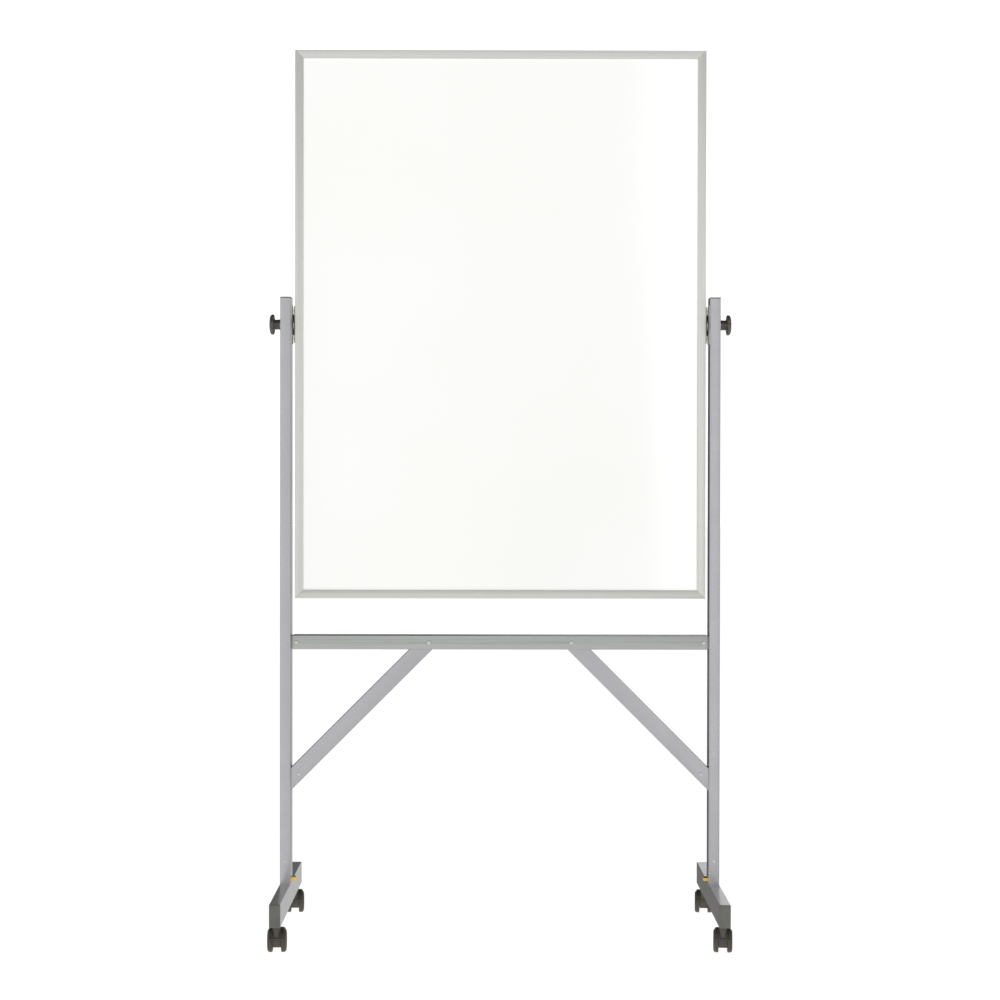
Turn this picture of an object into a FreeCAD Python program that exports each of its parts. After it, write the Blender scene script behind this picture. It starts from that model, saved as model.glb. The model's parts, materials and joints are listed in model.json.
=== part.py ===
"""Rolling whiteboard: a reversible, double-sided board that turns between two uprights.

Frame: millimetres, +Z up, origin on the floor at the middle of the stand, the user stands at -Y.
"""
import FreeCAD, Part
import os
import re

import Sketcher

DIMENSIONS = {
    # board
    "board_width": 914.4,
    "board_height": 1219.2,
    "frame_depth": 19.0,
    "frame_face": 18.5,
    "frame_wall": 1.4,
    "slot_half": 7.7,
    "slot_floor": 9.6,
    "panel_inset": 10.2,
    "core_thickness": 14.0,
    "sheet_thickness": 0.6,
    "sheet_rim_thickness": 0.4,
    "key_arm": 45.0,
    "key_play": 0.1,
    # pivot, knobs
    "pivot_height": 1357.5,
    "plate_thickness": 2.0,
    "board_plate_height": 82.0,
    "board_plate_width": 17.0,
    "board_plate_screw": 31.0,
    "boss_thickness": 1.3,
    "boss_radius": 14.0,
    "disc_radius": 24.5,
    "upright_plate_height": 86.0,
    "rivet_spacing": 32.0,
    "stud_radius": 4.0,
    "running_play": 0.05,
    "stud_reach": 37.0,
    "bushing_radius": 7.0,
    "knob_washer_thickness": 1.6,
    "knob_hub_radius": 11.35,
    "knob_hub_length": 13.3,
    "knob_radius": 23.0,
    "knob_thickness": 10.5,
    "knob_dome": 3.0,
    "knob_crown_radius": 16.5,
    "knob_edge_round": 2.0,
    "knob_crown_round": 6.0,
    "knob_root_round": 2.0,
    "knob_insert_radius": 6.5,
    "knob_insert_length": 11.0,
    "knob_lobes": 8,
    "knob_flute_radius": 6.0,
    # stand
    "upright_inner": 465.0,
    "upright_width": 24.0,
    "upright_depth": 45.0,
    "upright_top": 1415.3,
    "tube_wall": 1.5,
    "tube_corner": 1.2,
    "fit_play": 0.1,
    "cap_thickness": 3.0,
    "cap_plug": 12.0,
    "rail_bottom": 635.0,
    "rail_height": 31.0,
    "rail_depth": 41.0,
    "rail_wall": 1.8,
    "rail_end_gap": 4.0,
    "rail_end_recess": 1.5,
    "rail_plug": 30.0,
    "rail_end_screw": 453.0,
    "rail_bolt_out": 9.0,
    "rail_brace_screw": 158.6,
    "flute_top": 661.5,
    "flute_pitch": 3.6,
    "flute_width": 1.2,
    "flute_depth": 0.4,
    "brace_reach": 201.0,
    "brace_width": 36.0,
    "brace_depth": 30.0,
    "brace_tongue": 30.0,
    "brace_screw_out": 448.0,
    "brace_screw_height": 357.0,
    "brace_bolt_height": 346.0,
    # feet
    "foot_length": 508.0,
    "foot_height": 49.0,
    "foot_bottom": 63.5,
    "spigot_depth": 30.0,
    "spigot_top": 200.0,
    "spigot_screw_height": 164.0,
    "foot_bolt_height": 121.5,
    # casters
    "caster_inset": 44.5,
    "caster_trail": 15.0,
    "wheel_radius": 25.0,
    "wheel_width": 10.8,
    "wheel_gap": 9.4,
    "wheel_round": 5.5,
    "wheel_inner_round": 1.5,
    "wheel_dish": 1.2,
    "wheel_wall": 2.4,
    "axle_radius": 3.0,
    "web_half": 9.0,
    "web_radius": 21.0,
    "web_bottom": 13.0,
    "hood_radius": 28.5,
    "hood_half": 20.5,
    "hood_round": 9.0,
    "hood_well": 26.3,
    "hood_tilt": 12.0,
    "hood_cut": 0.5,
    "neck_width": 11.0,
    "neck_reach": 11.2,
    "neck_bottom": 35.0,
    "barrel_radius": 8.0,
    "barrel_top": 60.6,
    "stem_radius": 3.95,
    "stem_bottom": 41.0,
    "stem_top": 100.0,
    "stem_collar_radius": 8.0,
    "socket_radius": 6.5,
    "socket_flange_radius": 10.0,
    "socket_flange": 1.0,
    "socket_top": 105.0,
    "left_yaw": 2.0,
    "right_yaw": -5.0,
}

# Screws as (head radius, head height, shank radius, shank length).
PAN_SCREW = (4.0, 1.8, 2.0, 8.0)
PLATE_SCREW = (3.2, 1.2, 1.9, 6.0)
RIVET = (3.0, 1.0, 1.7, 3.4)
FOOT_SCREW = (6.5, 5.0, 4.0, 26.0)

AXES = {
    "+X": FreeCAD.Vector(1, 0, 0),
    "-X": FreeCAD.Vector(-1, 0, 0),
    "+Y": FreeCAD.Vector(0, 1, 0),
    "-Y": FreeCAD.Vector(0, -1, 0),
    "+Z": FreeCAD.Vector(0, 0, 1),
    "-Z": FreeCAD.Vector(0, 0, -1),
}

doc = FreeCAD.newDocument("RollingWhiteboard")
sub_parts = []


# ---------------------------------------------------------------- helpers

def make_sheet():
    """The spreadsheet that drives every size."""
    sheet = doc.addObject("Spreadsheet::Sheet", "Dimensions")
    for row, (alias, value) in enumerate(DIMENSIONS.items(), start=1):
        sheet.set(f"A{row}", alias)
        sheet.set(f"B{row}", str(value))
        sheet.setAlias(f"B{row}", alias)
    doc.recompute()


def formula(text):
    """An expression in which each alias is read from the sheet."""
    def qualified(match):
        word = match.group()
        return f"Dimensions.{word}" if word in DIMENSIONS else word
    return re.sub(r"[a-z_]+", qualified, str(text))


def bind(obj, prop, text):
    obj.setExpression(prop, formula(text))


def place(obj, x=0, y=0, z=0):
    for axis, text in zip("xyz", (x, y, z)):
        bind(obj, f".Placement.Base.{axis}", text)


def aim(obj, start, toward):
    """Turn an object's own +Z towards an axis and put its origin at start."""
    turn = FreeCAD.Rotation(AXES["+Z"], AXES[toward])
    obj.Placement = FreeCAD.Placement(FreeCAD.Vector(), turn)
    place(obj, *start)
    return obj


def box(name, size, corner):
    """A box from its lowest corner, with each length and coordinate a formula."""
    obj = doc.addObject("Part::Box", name)
    for prop, text in zip(("Length", "Width", "Height"), size):
        bind(obj, prop, text)
    place(obj, *corner)
    return obj


def centred_box(name, size, centre):
    corner = [f"({c}) - ({s}) / 2" for c, s in zip(centre, size)]
    return box(name, size, corner)


def pin(name, radius, length, start, toward):
    obj = doc.addObject("Part::Cylinder", name)
    bind(obj, "Radius", radius)
    bind(obj, "Height", length)
    return aim(obj, start, toward)


def cone(name, radii, length, start, toward):
    obj = doc.addObject("Part::Cone", name)
    bind(obj, "Radius1", radii[0])
    bind(obj, "Radius2", radii[1])
    bind(obj, "Height", length)
    return aim(obj, start, toward)


def fuse(name, pieces):
    obj = doc.addObject("Part::MultiFuse", name)
    obj.Shapes = pieces
    return obj


def cut(name, base, tools):
    obj = doc.addObject("Part::Cut", name)
    obj.Base = base
    obj.Tool = tools[0] if len(tools) == 1 else fuse(name + "_tools", tools)
    return obj


def mirror(name, source):
    """The other-hand copy of a piece, across the plane X = 0."""
    obj = doc.addObject("Part::Mirroring", name)
    obj.Source = source
    obj.Base = FreeCAD.Vector(0, 0, 0)
    obj.Normal = AXES["+X"]
    return obj


def group(name, pieces):
    """Identical pieces that share one node, each still its own solid."""
    obj = doc.addObject("Part::Compound", name)
    obj.Links = pieces
    return obj


def keep(obj, label):
    """Name a finished sub-part; its label is its file's name."""
    obj.Label = label
    sub_parts.append(obj)
    return obj


def keep_pair(right, label):
    """Keep a right-hand piece and its mirror image as two sub-parts."""
    left = mirror(label + "_left_mirror", right)
    keep(right, label + "_right")
    keep(left, label + "_left")


def keep_mirrored_group(right_pieces, label):
    """Keep right-hand pieces and their mirror images as one group of solids."""
    left_pieces = [mirror(f"{piece.Name}_mirror", piece) for piece in right_pieces]
    return keep(group(label + "_group", right_pieces + left_pieces), label)


def new_sketch(body, plane):
    sketch = body.newObject("Sketcher::SketchObject", body.Name + "_sketch")
    origin = [f for f in body.Origin.OriginFeatures if f.Role == plane]
    sketch.AttachmentSupport = [(origin[0], "")]
    sketch.MapMode = "FlatFace"
    return sketch


def draw_outline(sketch, points):
    """A closed outline whose every corner is held by two formulas."""
    count = len(points)
    first = sketch.GeometryCount
    start = [FreeCAD.Vector(i % 3 * 10.0 + i, i * 7.0, 0) for i in range(count)]
    for i in range(count):
        sketch.addGeometry(Part.LineSegment(start[i], start[(i + 1) % count]), False)
    for i in range(count):
        after = (i + 1) % count
        sketch.addConstraint(Sketcher.Constraint("Coincident", first + i, 2, first + after, 1))
    for i, (across, up) in enumerate(points):
        for kind, text in (("DistanceX", across), ("DistanceY", up)):
            number = sketch.addConstraint(Sketcher.Constraint(kind, -1, 1, first + i, 1, 1.0))
            bind(sketch, f"Constraints[{number}]", text)


def rectangle(half_width, half_height):
    w, h = half_width, half_height
    return [(f"-({w})", f"-({h})"), (w, f"-({h})"), (w, h), (f"-({w})", h)]


def extrusion(name, plane, outlines, length):
    """A body padded evenly to both sides of one of its origin planes."""
    body = doc.addObject("PartDesign::Body", name)
    sketch = new_sketch(body, plane)
    for outline in outlines:
        draw_outline(sketch, outline)
    pad = body.newObject("PartDesign::Pad", name + "_pad")
    pad.Profile = sketch
    pad.Midplane = True
    bind(pad, "Length", length)
    doc.recompute()
    return body


def turned(name, outline):
    """A body of revolution about its own Z axis; the outline is (radius, height)."""
    body = doc.addObject("PartDesign::Body", name)
    sketch = new_sketch(body, "XZ_Plane")
    draw_outline(sketch, outline)
    spin = body.newObject("PartDesign::Revolution", name + "_turn")
    spin.Profile = sketch
    spin.ReferenceAxis = (sketch, ["V_Axis"])
    spin.Angle = 360
    doc.recompute()
    return body


def round_edges(body, radius, wanted):
    """Fillet the edges of a body that the test accepts."""
    tip = body.Tip
    edges = [f"Edge{i}" for i, e in enumerate(tip.Shape.Edges, start=1) if wanted(e)]
    fillet = body.newObject("PartDesign::Fillet", body.Name + "_fillet")
    fillet.Base = (tip, edges)
    bind(fillet, "Radius", radius)
    doc.recompute()


def circle_at(radius, *heights):
    """Accept the circular edges of a turned body that have this radius at one of these heights."""
    def wanted(edge):
        curve = edge.Curve
        if not isinstance(curve, Part.Circle) or abs(curve.Radius - radius) > 0.01:
            return False
        return any(abs(curve.Center.z - height) < 0.01 for height in heights)
    return wanted


def outer_edges_along(axis, half_width, half_height):
    """Accept the edges that run along an axis on the outside of a tube."""
    def wanted(edge):
        ends = [v.Point for v in edge.Vertexes]
        if len(ends) != 2:
            return False
        run = (ends[1] - ends[0]).normalize()
        across, up = [i for i in range(3) if i != axis]
        at_side = abs(abs(ends[0][across]) - half_width) < 0.01
        at_top = abs(abs(ends[0][up]) - half_height) < 0.01
        return abs(run[axis]) > 0.999 and at_side and at_top
    return wanted


def screw(name, sizes, seat, toward):
    """A screw whose head sits on the seat and whose shank runs towards an axis."""
    head_radius, head_height, shank_radius, shank_length = sizes
    away = {"+": "-", "-": "+"}[toward[0]] + toward[1]
    head = pin(name + "_head", head_radius, head_height, seat, away)
    shank = pin(name + "_shank", shank_radius, shank_length, seat, toward)
    return fuse(name, [head, shank])


# ---------------------------------------------------------------- board

def make_panel():
    """The stiff core with an enamelled steel sheet bonded to each face.

    The rim of each sheet, which lies under the frame's lip, is pressed back a little.
    """
    panel_x = "board_width - 2 * panel_inset"
    panel_z = "board_height - 2 * panel_inset"
    view_x = "board_width - 2 * frame_face - 2 * fit_play"
    view_z = "board_height - 2 * frame_face - 2 * fit_play"
    middle = "pivot_height"
    keep(centred_box("core", (panel_x, "core_thickness", panel_z), ("0", "0", middle)), "board_core")
    for label, sign in (("writing_sheet_front", "-1"), ("writing_sheet_back", "1")):
        rim_y = f"{sign} * (core_thickness + sheet_rim_thickness) / 2"
        view_y = f"{sign} * (core_thickness + sheet_thickness) / 2"
        rim_size = (panel_x, "sheet_rim_thickness", panel_z)
        view_size = (view_x, "sheet_thickness", view_z)
        rim = centred_box(label + "_rim", rim_size, ("0", rim_y, middle))
        view = centred_box(label + "_view", view_size, ("0", view_y, middle))
        keep(fuse(label + "_sheet", [rim, view]), label)


def frame_member(name, length, reach, angle):
    """One mitred length of the board's frame, with a slot for the panel and a hollow for the keys.

    It is drawn as the top member, reach above the board's centre, and turned about Y into place.
    """
    half = "frame_depth / 2"
    profile = [
        (f"-{half}", reach),
        (half, reach),
        (half, f"{reach} - frame_face"),
        ("slot_half", f"{reach} - frame_face"),
        ("slot_half", f"{reach} - slot_floor"),
        ("-slot_half", f"{reach} - slot_floor"),
        ("-slot_half", f"{reach} - frame_face"),
        (f"-{half}", f"{reach} - frame_face"),
    ]
    hollow = [
        (f"-{half} + frame_wall", f"{reach} - frame_wall"),
        (f"{half} - frame_wall", f"{reach} - frame_wall"),
        (f"{half} - frame_wall", f"{reach} - slot_floor + frame_wall"),
        (f"-{half} + frame_wall", f"{reach} - slot_floor + frame_wall"),
    ]
    body = extrusion(name, "YZ_Plane", [profile, hollow], length)
    corner = f"{length} / 2"
    mitre = new_sketch(body, "XZ_Plane")
    for side in ("", "-"):
        draw_outline(mitre, [
            (f"{side}({corner} + 1)", f"{reach} + 1"),
            (f"{side}({corner} + 1)", f"{reach} - frame_face - 1"),
            (f"{side}({corner} - frame_face - 1)", f"{reach} - frame_face - 1"),
        ])
    pocket = body.newObject("PartDesign::Pocket", name + "_mitres")
    pocket.Profile = mitre
    pocket.Midplane = True
    pocket.Type = "ThroughAll"
    doc.recompute()
    body.Placement = FreeCAD.Placement(FreeCAD.Vector(), FreeCAD.Rotation(AXES["+Y"], angle))
    place(body, z="pivot_height")
    return body


def make_board_frame(plate_screws):
    keep(frame_member("frame_top", "board_width", "board_height / 2", 0), "board_frame_top")
    keep(frame_member("frame_bottom", "board_width", "board_height / 2", 180), "board_frame_bottom")
    side = frame_member("frame_side", "board_height", "board_width / 2", 90)
    keep_pair(cut("frame_side_drilled", side, plate_screws), "board_frame")


def make_corner_keys():
    """L-shaped keys pressed into the frame's hollows at the four corners."""
    depth = "frame_depth - 2 * frame_wall - 2 * key_play"
    near = "(frame_wall + key_play)"
    thick = "slot_floor - 2 * frame_wall - 2 * key_play"
    keys = []
    for name, up in (("key_top", "1"), ("key_bottom", "-1")):
        outer_z = f"pivot_height + {up} * (board_height / 2 - {near} - ({thick}) / 2)"
        arm_z = f"pivot_height + {up} * (board_height / 2 - {near} - key_arm / 2)"
        arm_x = f"board_width / 2 - {near} - key_arm / 2"
        outer_x = f"board_width / 2 - {near} - ({thick}) / 2"
        level = centred_box(name + "_level", ("key_arm", depth, thick), (arm_x, "0", outer_z))
        plumb = centred_box(name + "_plumb", (thick, depth, "key_arm"), (outer_x, "0", arm_z))
        keys.append(fuse(name, [level, plumb]))
    keep_mirrored_group(keys, "corner_keys")


# ---------------------------------------------------------------- pivots and knobs

def make_pivot():
    """Everything on the right-hand pivot axis, listed from the board outwards."""
    edge = "board_width / 2"
    plate_out = f"{edge} + plate_thickness"
    disc_in = f"{plate_out} + boss_thickness"
    washer_plane = "upright_inner - plate_thickness"
    axis_z = "pivot_height"
    both_ways = (("up", "+"), ("down", "-"))

    screws = []
    for word, sign in both_ways:
        seat = (plate_out, "0", f"{axis_z} {sign} board_plate_screw")
        screws.append(screw(f"plate_screw_{word}", PLATE_SCREW, seat, "-X"))
    plate_size = ("plate_thickness", "board_plate_width", "board_plate_height")
    plate = centred_box("board_plate_blank", plate_size, (f"{edge} + plate_thickness / 2", "0", axis_z))
    keep_pair(cut("board_plate", plate, screws), "pivot_plate")

    stud = turned("stud", [
        ("0", "0"),
        ("boss_radius", "0"),
        ("boss_radius", "boss_thickness"),
        ("stud_radius", "boss_thickness"),
        ("stud_radius", "stud_reach + boss_thickness - 1"),
        ("stud_radius - 1", "stud_reach + boss_thickness"),
        ("0", "stud_reach + boss_thickness"),
    ])
    keep_pair(aim(stud, (plate_out, "0", axis_z), "+X"), "pivot_stud")

    disc_length = f"{washer_plane} - ({disc_in}) - running_play"
    bore_radius = "stud_radius + running_play"
    disc = pin("disc_blank", "disc_radius", disc_length, (disc_in, "0", axis_z), "+X")
    disc_bore = pin("disc_bore", bore_radius, "20", (plate_out, "0", axis_z), "+X")
    keep_pair(cut("disc", disc, [disc_bore]), "friction_disc")

    bushing_length = "upright_width + plate_thickness"
    bushing = pin("bushing_blank", "bushing_radius", bushing_length, (washer_plane, "0", axis_z), "+X")
    bushing_bore = pin("bushing_bore", bore_radius, "60", (plate_out, "0", axis_z), "+X")
    keep_pair(cut("bushing", bushing, [bushing_bore]), "pivot_bushing")

    rivets = [
        screw(f"rivet_{word}", RIVET, (washer_plane, "0", f"{axis_z} {sign} rivet_spacing"), "+X")
        for word, sign in both_ways
    ]
    plate_size = ("plate_thickness", "upright_depth - 4", "upright_plate_height")
    plate_x = f"{washer_plane} + plate_thickness / 2"
    blank = centred_box("upright_plate_blank", plate_size, (plate_x, "0", axis_z))
    keep_mirrored_group([cut("upright_plate", blank, [bushing] + rivets)], "upright_plates")
    keep_mirrored_group(rivets, "upright_plate_rivets")
    keep_mirrored_group(screws, "pivot_plate_screws")
    return screws, rivets


def make_knob():
    """The clamp knob, its threaded insert and its captive washer, drawn about Z and laid along +X."""
    outer = "upright_inner + upright_width + running_play"
    washer_end = f"{outer} + knob_washer_thickness"
    hub_start = f"{washer_end} + running_play"
    washer = turned("washer", [
        ("stud_radius + running_play", "0"),
        ("knob_hub_radius", "0"),
        ("knob_hub_radius", "knob_washer_thickness"),
        ("stud_radius + running_play", "knob_washer_thickness"),
    ])
    keep_pair(aim(washer, (outer, "0", "pivot_height"), "+X"), "knob_washer")

    insert = turned("insert", [
        ("stud_radius + running_play", "0"),
        ("knob_insert_radius", "0"),
        ("knob_insert_radius", "knob_insert_length"),
        ("stud_radius + running_play", "knob_insert_length"),
    ])
    keep_pair(aim(insert, (hub_start, "0", "pivot_height"), "+X"), "knob_insert")

    hub = "knob_hub_length"
    top = "knob_hub_length + knob_thickness"
    knob = turned("knob", [
        ("knob_insert_radius", "0"),
        ("knob_hub_radius", "0"),
        ("knob_hub_radius", hub),
        ("knob_radius", hub),
        ("knob_radius", f"{top} - knob_dome"),
        ("knob_crown_radius", top),
        ("0", top),
        ("0", "knob_insert_length + 4"),
        ("stud_radius + 1", "knob_insert_length + 3"),
        ("stud_radius + 1", "knob_insert_length"),
        ("knob_insert_radius", "knob_insert_length"),
    ])
    hub_length = DIMENSIONS["knob_hub_length"]
    length = hub_length + DIMENSIONS["knob_thickness"]
    rim = length - DIMENSIONS["knob_dome"]
    round_edges(knob, "knob_edge_round", circle_at(DIMENSIONS["knob_radius"], hub_length, rim))
    round_edges(knob, "knob_crown_round", circle_at(DIMENSIONS["knob_crown_radius"], length))
    round_edges(knob, "knob_root_round", circle_at(DIMENSIONS["knob_hub_radius"], hub_length))
    flute = new_sketch(knob, "XY_Plane")
    flute.addGeometry(Part.Circle(FreeCAD.Vector(27, 0, 0), AXES["+Z"], 6.0), False)
    flute.addConstraint(Sketcher.Constraint("PointOnObject", 0, 3, -1))
    across = flute.addConstraint(Sketcher.Constraint("DistanceX", -1, 1, 0, 3, 27.0))
    bind(flute, f"Constraints[{across}]", "knob_radius + knob_flute_radius - 1.6")
    radius = flute.addConstraint(Sketcher.Constraint("Radius", 0, 6.0))
    bind(flute, f"Constraints[{radius}]", "knob_flute_radius")
    pocket = knob.newObject("PartDesign::Pocket", "knob_flute")
    pocket.Profile = flute
    pocket.Midplane = True
    pocket.Type = "ThroughAll"
    doc.recompute()
    around = knob.newObject("PartDesign::PolarPattern", "knob_flutes")
    around.Originals = [pocket]
    around.Axis = (flute, ["N_Axis"])
    around.Angle = 360
    bind(around, "Occurrences", "knob_lobes")
    knob.Tip = around
    doc.recompute()
    keep_pair(aim(knob, (hub_start, "0", "pivot_height"), "+X"), "knob")


# ---------------------------------------------------------------- stand

def rect_tube(name, plane, axis, sizes, length):
    """A rounded rectangular tube along one axis, centred on its own origin."""
    half_width, half_height = [f"{size} / 2" for size in sizes]
    outside = rectangle(half_width, half_height)
    inside = rectangle(f"{half_width} - tube_wall", f"{half_height} - tube_wall")
    body = extrusion(name, plane, [outside, inside], length)
    values = [DIMENSIONS[size] / 2 for size in sizes]
    round_edges(body, "tube_corner", outer_edges_along(axis, *values))
    return body


def countersunk_bolt(name, y, z):
    """A flush bolt from the upright's outer face through both its walls."""
    face = "upright_inner + upright_width"
    head = cone(name + "_head", ("4.6", "2.5"), "2.5", (face, y, z), "-X")
    shank = pin(name + "_shank", "2.5", "42", (face, y, z), "-X")
    return fuse(name, [head, shank])


def make_upright(rivets, bolts, foot_bolt, spigot_screw):
    centre_x = "upright_inner + upright_width / 2"
    length = "upright_top - foot_bottom - foot_height"
    tube = rect_tube("upright_tube", "XY_Plane", 2, ("upright_width", "upright_depth"), length)
    place(tube, centre_x, "0", "(upright_top + foot_bottom + foot_height) / 2")
    tools = [bushing_hole("upright_bore")] + rivets + bolts + [foot_bolt, spigot_screw]
    keep_pair(cut("upright_drilled", tube, tools), "upright")

    inner_x = "upright_width - 2 * tube_wall - 2 * fit_play"
    inner_y = "upright_depth - 2 * tube_wall - 2 * fit_play"
    lid_outline = rectangle("upright_width / 2", "upright_depth / 2")
    lid = extrusion("upright_lid", "XY_Plane", [lid_outline], "cap_thickness")
    round_edges(lid, "tube_corner", is_not_bottom_edge)
    place(lid, centre_x, "0", "upright_top + cap_thickness / 2")
    plug_centre = (centre_x, "0", "upright_top - cap_plug / 2")
    plug = centred_box("upright_plug", (inner_x, inner_y, "cap_plug"), plug_centre)
    keep_mirrored_group([fuse("upright_cap", [lid, plug])], "upright_caps")


def is_not_bottom_edge(edge):
    """Accept every edge of a lid apart from those round its lower face."""
    lowest = -DIMENSIONS["cap_thickness"] / 2 + 0.01
    return any(v.Point.z > lowest for v in edge.Vertexes)


def bushing_hole(name):
    return pin(name, "bushing_radius", "60", ("upright_inner - 10", "0", "pivot_height"), "+X")


def make_rail(bolts):
    """The fluted cross rail, its end brackets and the screws in its front face."""
    length = "2 * (upright_inner - rail_end_gap)"
    middle_z = "rail_bottom + rail_height / 2"
    outside = rectangle("rail_depth / 2", "rail_height / 2")
    inside = rectangle("rail_depth / 2 - rail_wall", "rail_height / 2 - rail_wall")
    rail = extrusion("rail_tube", "YZ_Plane", [outside, inside], length)
    half_depth = DIMENSIONS["rail_depth"] / 2
    half_height = DIMENSIONS["rail_height"] / 2
    round_edges(rail, "tube_corner", outer_edges_along(0, half_depth, half_height))
    place(rail, "0", "0", middle_z)
    flutes = []
    for side, sign in (("front", "-1"), ("back", "1")):
        for number in range(4):
            centre = ("0", f"{sign} * rail_depth / 2", f"flute_top - {number} * flute_pitch")
            size = ("2 * upright_inner", "2 * flute_depth", "flute_width")
            flutes.append(centred_box(f"flute_{side}_{number}", size, centre))
    front = "-rail_depth / 2"
    end_screw = screw("rail_end_screw_item", PAN_SCREW, ("rail_end_screw", front, middle_z), "+Y")
    brace_screw = screw("rail_brace_screw_item", PAN_SCREW, ("rail_brace_screw", front, middle_z), "+Y")
    tongue = brace_top_bracket(brace_screw)

    flange_size = ("rail_end_gap", "rail_depth - 2 * rail_end_recess", "rail_height - 2 * rail_end_recess")
    flange = centred_box("rail_flange", flange_size, ("upright_inner - rail_end_gap / 2", "0", middle_z))
    plug_y = "rail_depth - 2 * rail_wall - 2 * fit_play"
    plug_z = "rail_height - 2 * rail_wall - 2 * fit_play"
    plug_x = "upright_inner - rail_end_gap - rail_plug / 2"
    plug = centred_box("rail_plug_block", ("rail_plug", plug_y, plug_z), (plug_x, "0", middle_z))
    bracket = fuse("rail_bracket_blank", [flange, plug])
    keep_mirrored_group([cut("rail_bracket", bracket, bolts[:2] + [end_screw])], "rail_end_brackets")

    tongue_left = mirror("rail_tongue_left", tongue)
    screws_left = [mirror(f"{item.Name}_hole_left", item) for item in (end_screw, brace_screw)]
    tools = flutes + [tongue, end_screw, brace_screw, tongue_left] + screws_left
    keep(cut("rail", rail, tools), "cross_rail")
    return end_screw, brace_screw, tongue


def brace_outline(inset):
    """The brace's side edges at 45 degrees, each drawn in by inset, as (lower x, upper x) at the rail."""
    upper = f"brace_reach - ({inset}) * sqrt(2)"
    lower = f"brace_reach - (brace_width - ({inset})) * sqrt(2)"
    return lower, upper


def brace_top_bracket(brace_screw):
    """A tongue in the brace's upper end that stands up inside the rail."""
    lower, upper = brace_outline("tube_wall + fit_play")
    top = "rail_bottom + rail_height - rail_wall - fit_play"
    outline = [
        (f"{lower} + brace_tongue", "rail_bottom - brace_tongue"),
        (f"{upper} + brace_tongue", "rail_bottom - brace_tongue"),
        (upper, "rail_bottom"),
        (upper, top),
        (lower, top),
        (lower, "rail_bottom"),
    ]
    body = extrusion("brace_top_block", "XZ_Plane", [outline], "brace_depth - 2 * tube_wall - 2 * fit_play")
    return cut("brace_top_bracket_item", body, [brace_screw])


def make_brace(tongue, bolt):
    """A 45 degree tube from the rail's underside to the upright, with a bracket in each end."""
    lower, upper = brace_outline("0")
    outline = [
        (lower, "rail_bottom"),
        (upper, "rail_bottom"),
        ("upright_inner", f"rail_bottom - upright_inner + {upper}"),
        ("upright_inner", f"rail_bottom - upright_inner + {lower}"),
    ]
    solid = extrusion("brace_solid", "XZ_Plane", [outline], "brace_depth")
    round_edges(solid, "tube_corner", is_sloping_edge)
    low_in, up_in = brace_outline("tube_wall")
    bore = extrusion("brace_bore", "XZ_Plane", [[
        (f"{low_in} - 10", "rail_bottom + 10"),
        (f"{up_in} - 10", "rail_bottom + 10"),
        ("upright_inner + 10", f"rail_bottom - upright_inner - 10 + {up_in}"),
        ("upright_inner + 10", f"rail_bottom - upright_inner - 10 + {low_in}"),
    ]], "brace_depth - 2 * tube_wall")
    front = "-brace_depth / 2"
    screw_seat = ("brace_screw_out", front, "brace_screw_height")
    brace_screw = screw("brace_foot_screw", PAN_SCREW, screw_seat, "+Y")
    keep_pair(cut("brace_tube", solid, [bore, brace_screw]), "brace")

    low_fit, up_fit = brace_outline("tube_wall + fit_play")
    block = extrusion("brace_foot_block", "XZ_Plane", [[
        ("upright_inner", f"rail_bottom - upright_inner + {low_fit}"),
        ("upright_inner", f"rail_bottom - upright_inner + {up_fit}"),
        ("upright_inner - brace_tongue", f"rail_bottom - upright_inner + brace_tongue + {up_fit}"),
        ("upright_inner - brace_tongue", f"rail_bottom - upright_inner + brace_tongue + {low_fit}"),
    ]], "brace_depth - 2 * tube_wall - 2 * fit_play")
    foot_bracket = cut("brace_foot_bracket_item", block, [brace_screw, bolt])
    keep_mirrored_group([tongue, foot_bracket], "brace_brackets")
    return brace_screw


def is_sloping_edge(edge):
    """Accept the brace's long 45 degree edges."""
    ends = [v.Point for v in edge.Vertexes]
    run = ends[1] - ends[0]
    return abs(run.x) > 1 and abs(run.z) > 1


# ---------------------------------------------------------------- feet

def make_foot_bolt():
    """The hexagon bolt, with its flanged head, low on the upright's inner face."""
    flange = pin("foot_bolt_flange", "6.2", "1.5", ("upright_inner", "0", "foot_bolt_height"), "-X")
    head = doc.addObject("Part::Prism", "foot_bolt_head")
    head.Polygon = 6
    bind(head, "Circumradius", "5.8")
    bind(head, "Height", "10")
    aim(head, ("upright_inner", "0", "foot_bolt_height"), "-X")
    shank = pin("foot_bolt_shank", "4", "16", ("upright_inner", "0", "foot_bolt_height"), "+X")
    return fuse("foot_bolt_item", [flange, head, shank])


def make_spigot_screw():
    seat = ("upright_inner + upright_width / 2", "-upright_depth / 2", "spigot_screw_height")
    head_radius, _, shank_radius, shank_length = PAN_SCREW
    return screw("spigot_screw_item", (head_radius, 0.8, shank_radius, shank_length), seat, "+Y")


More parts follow.
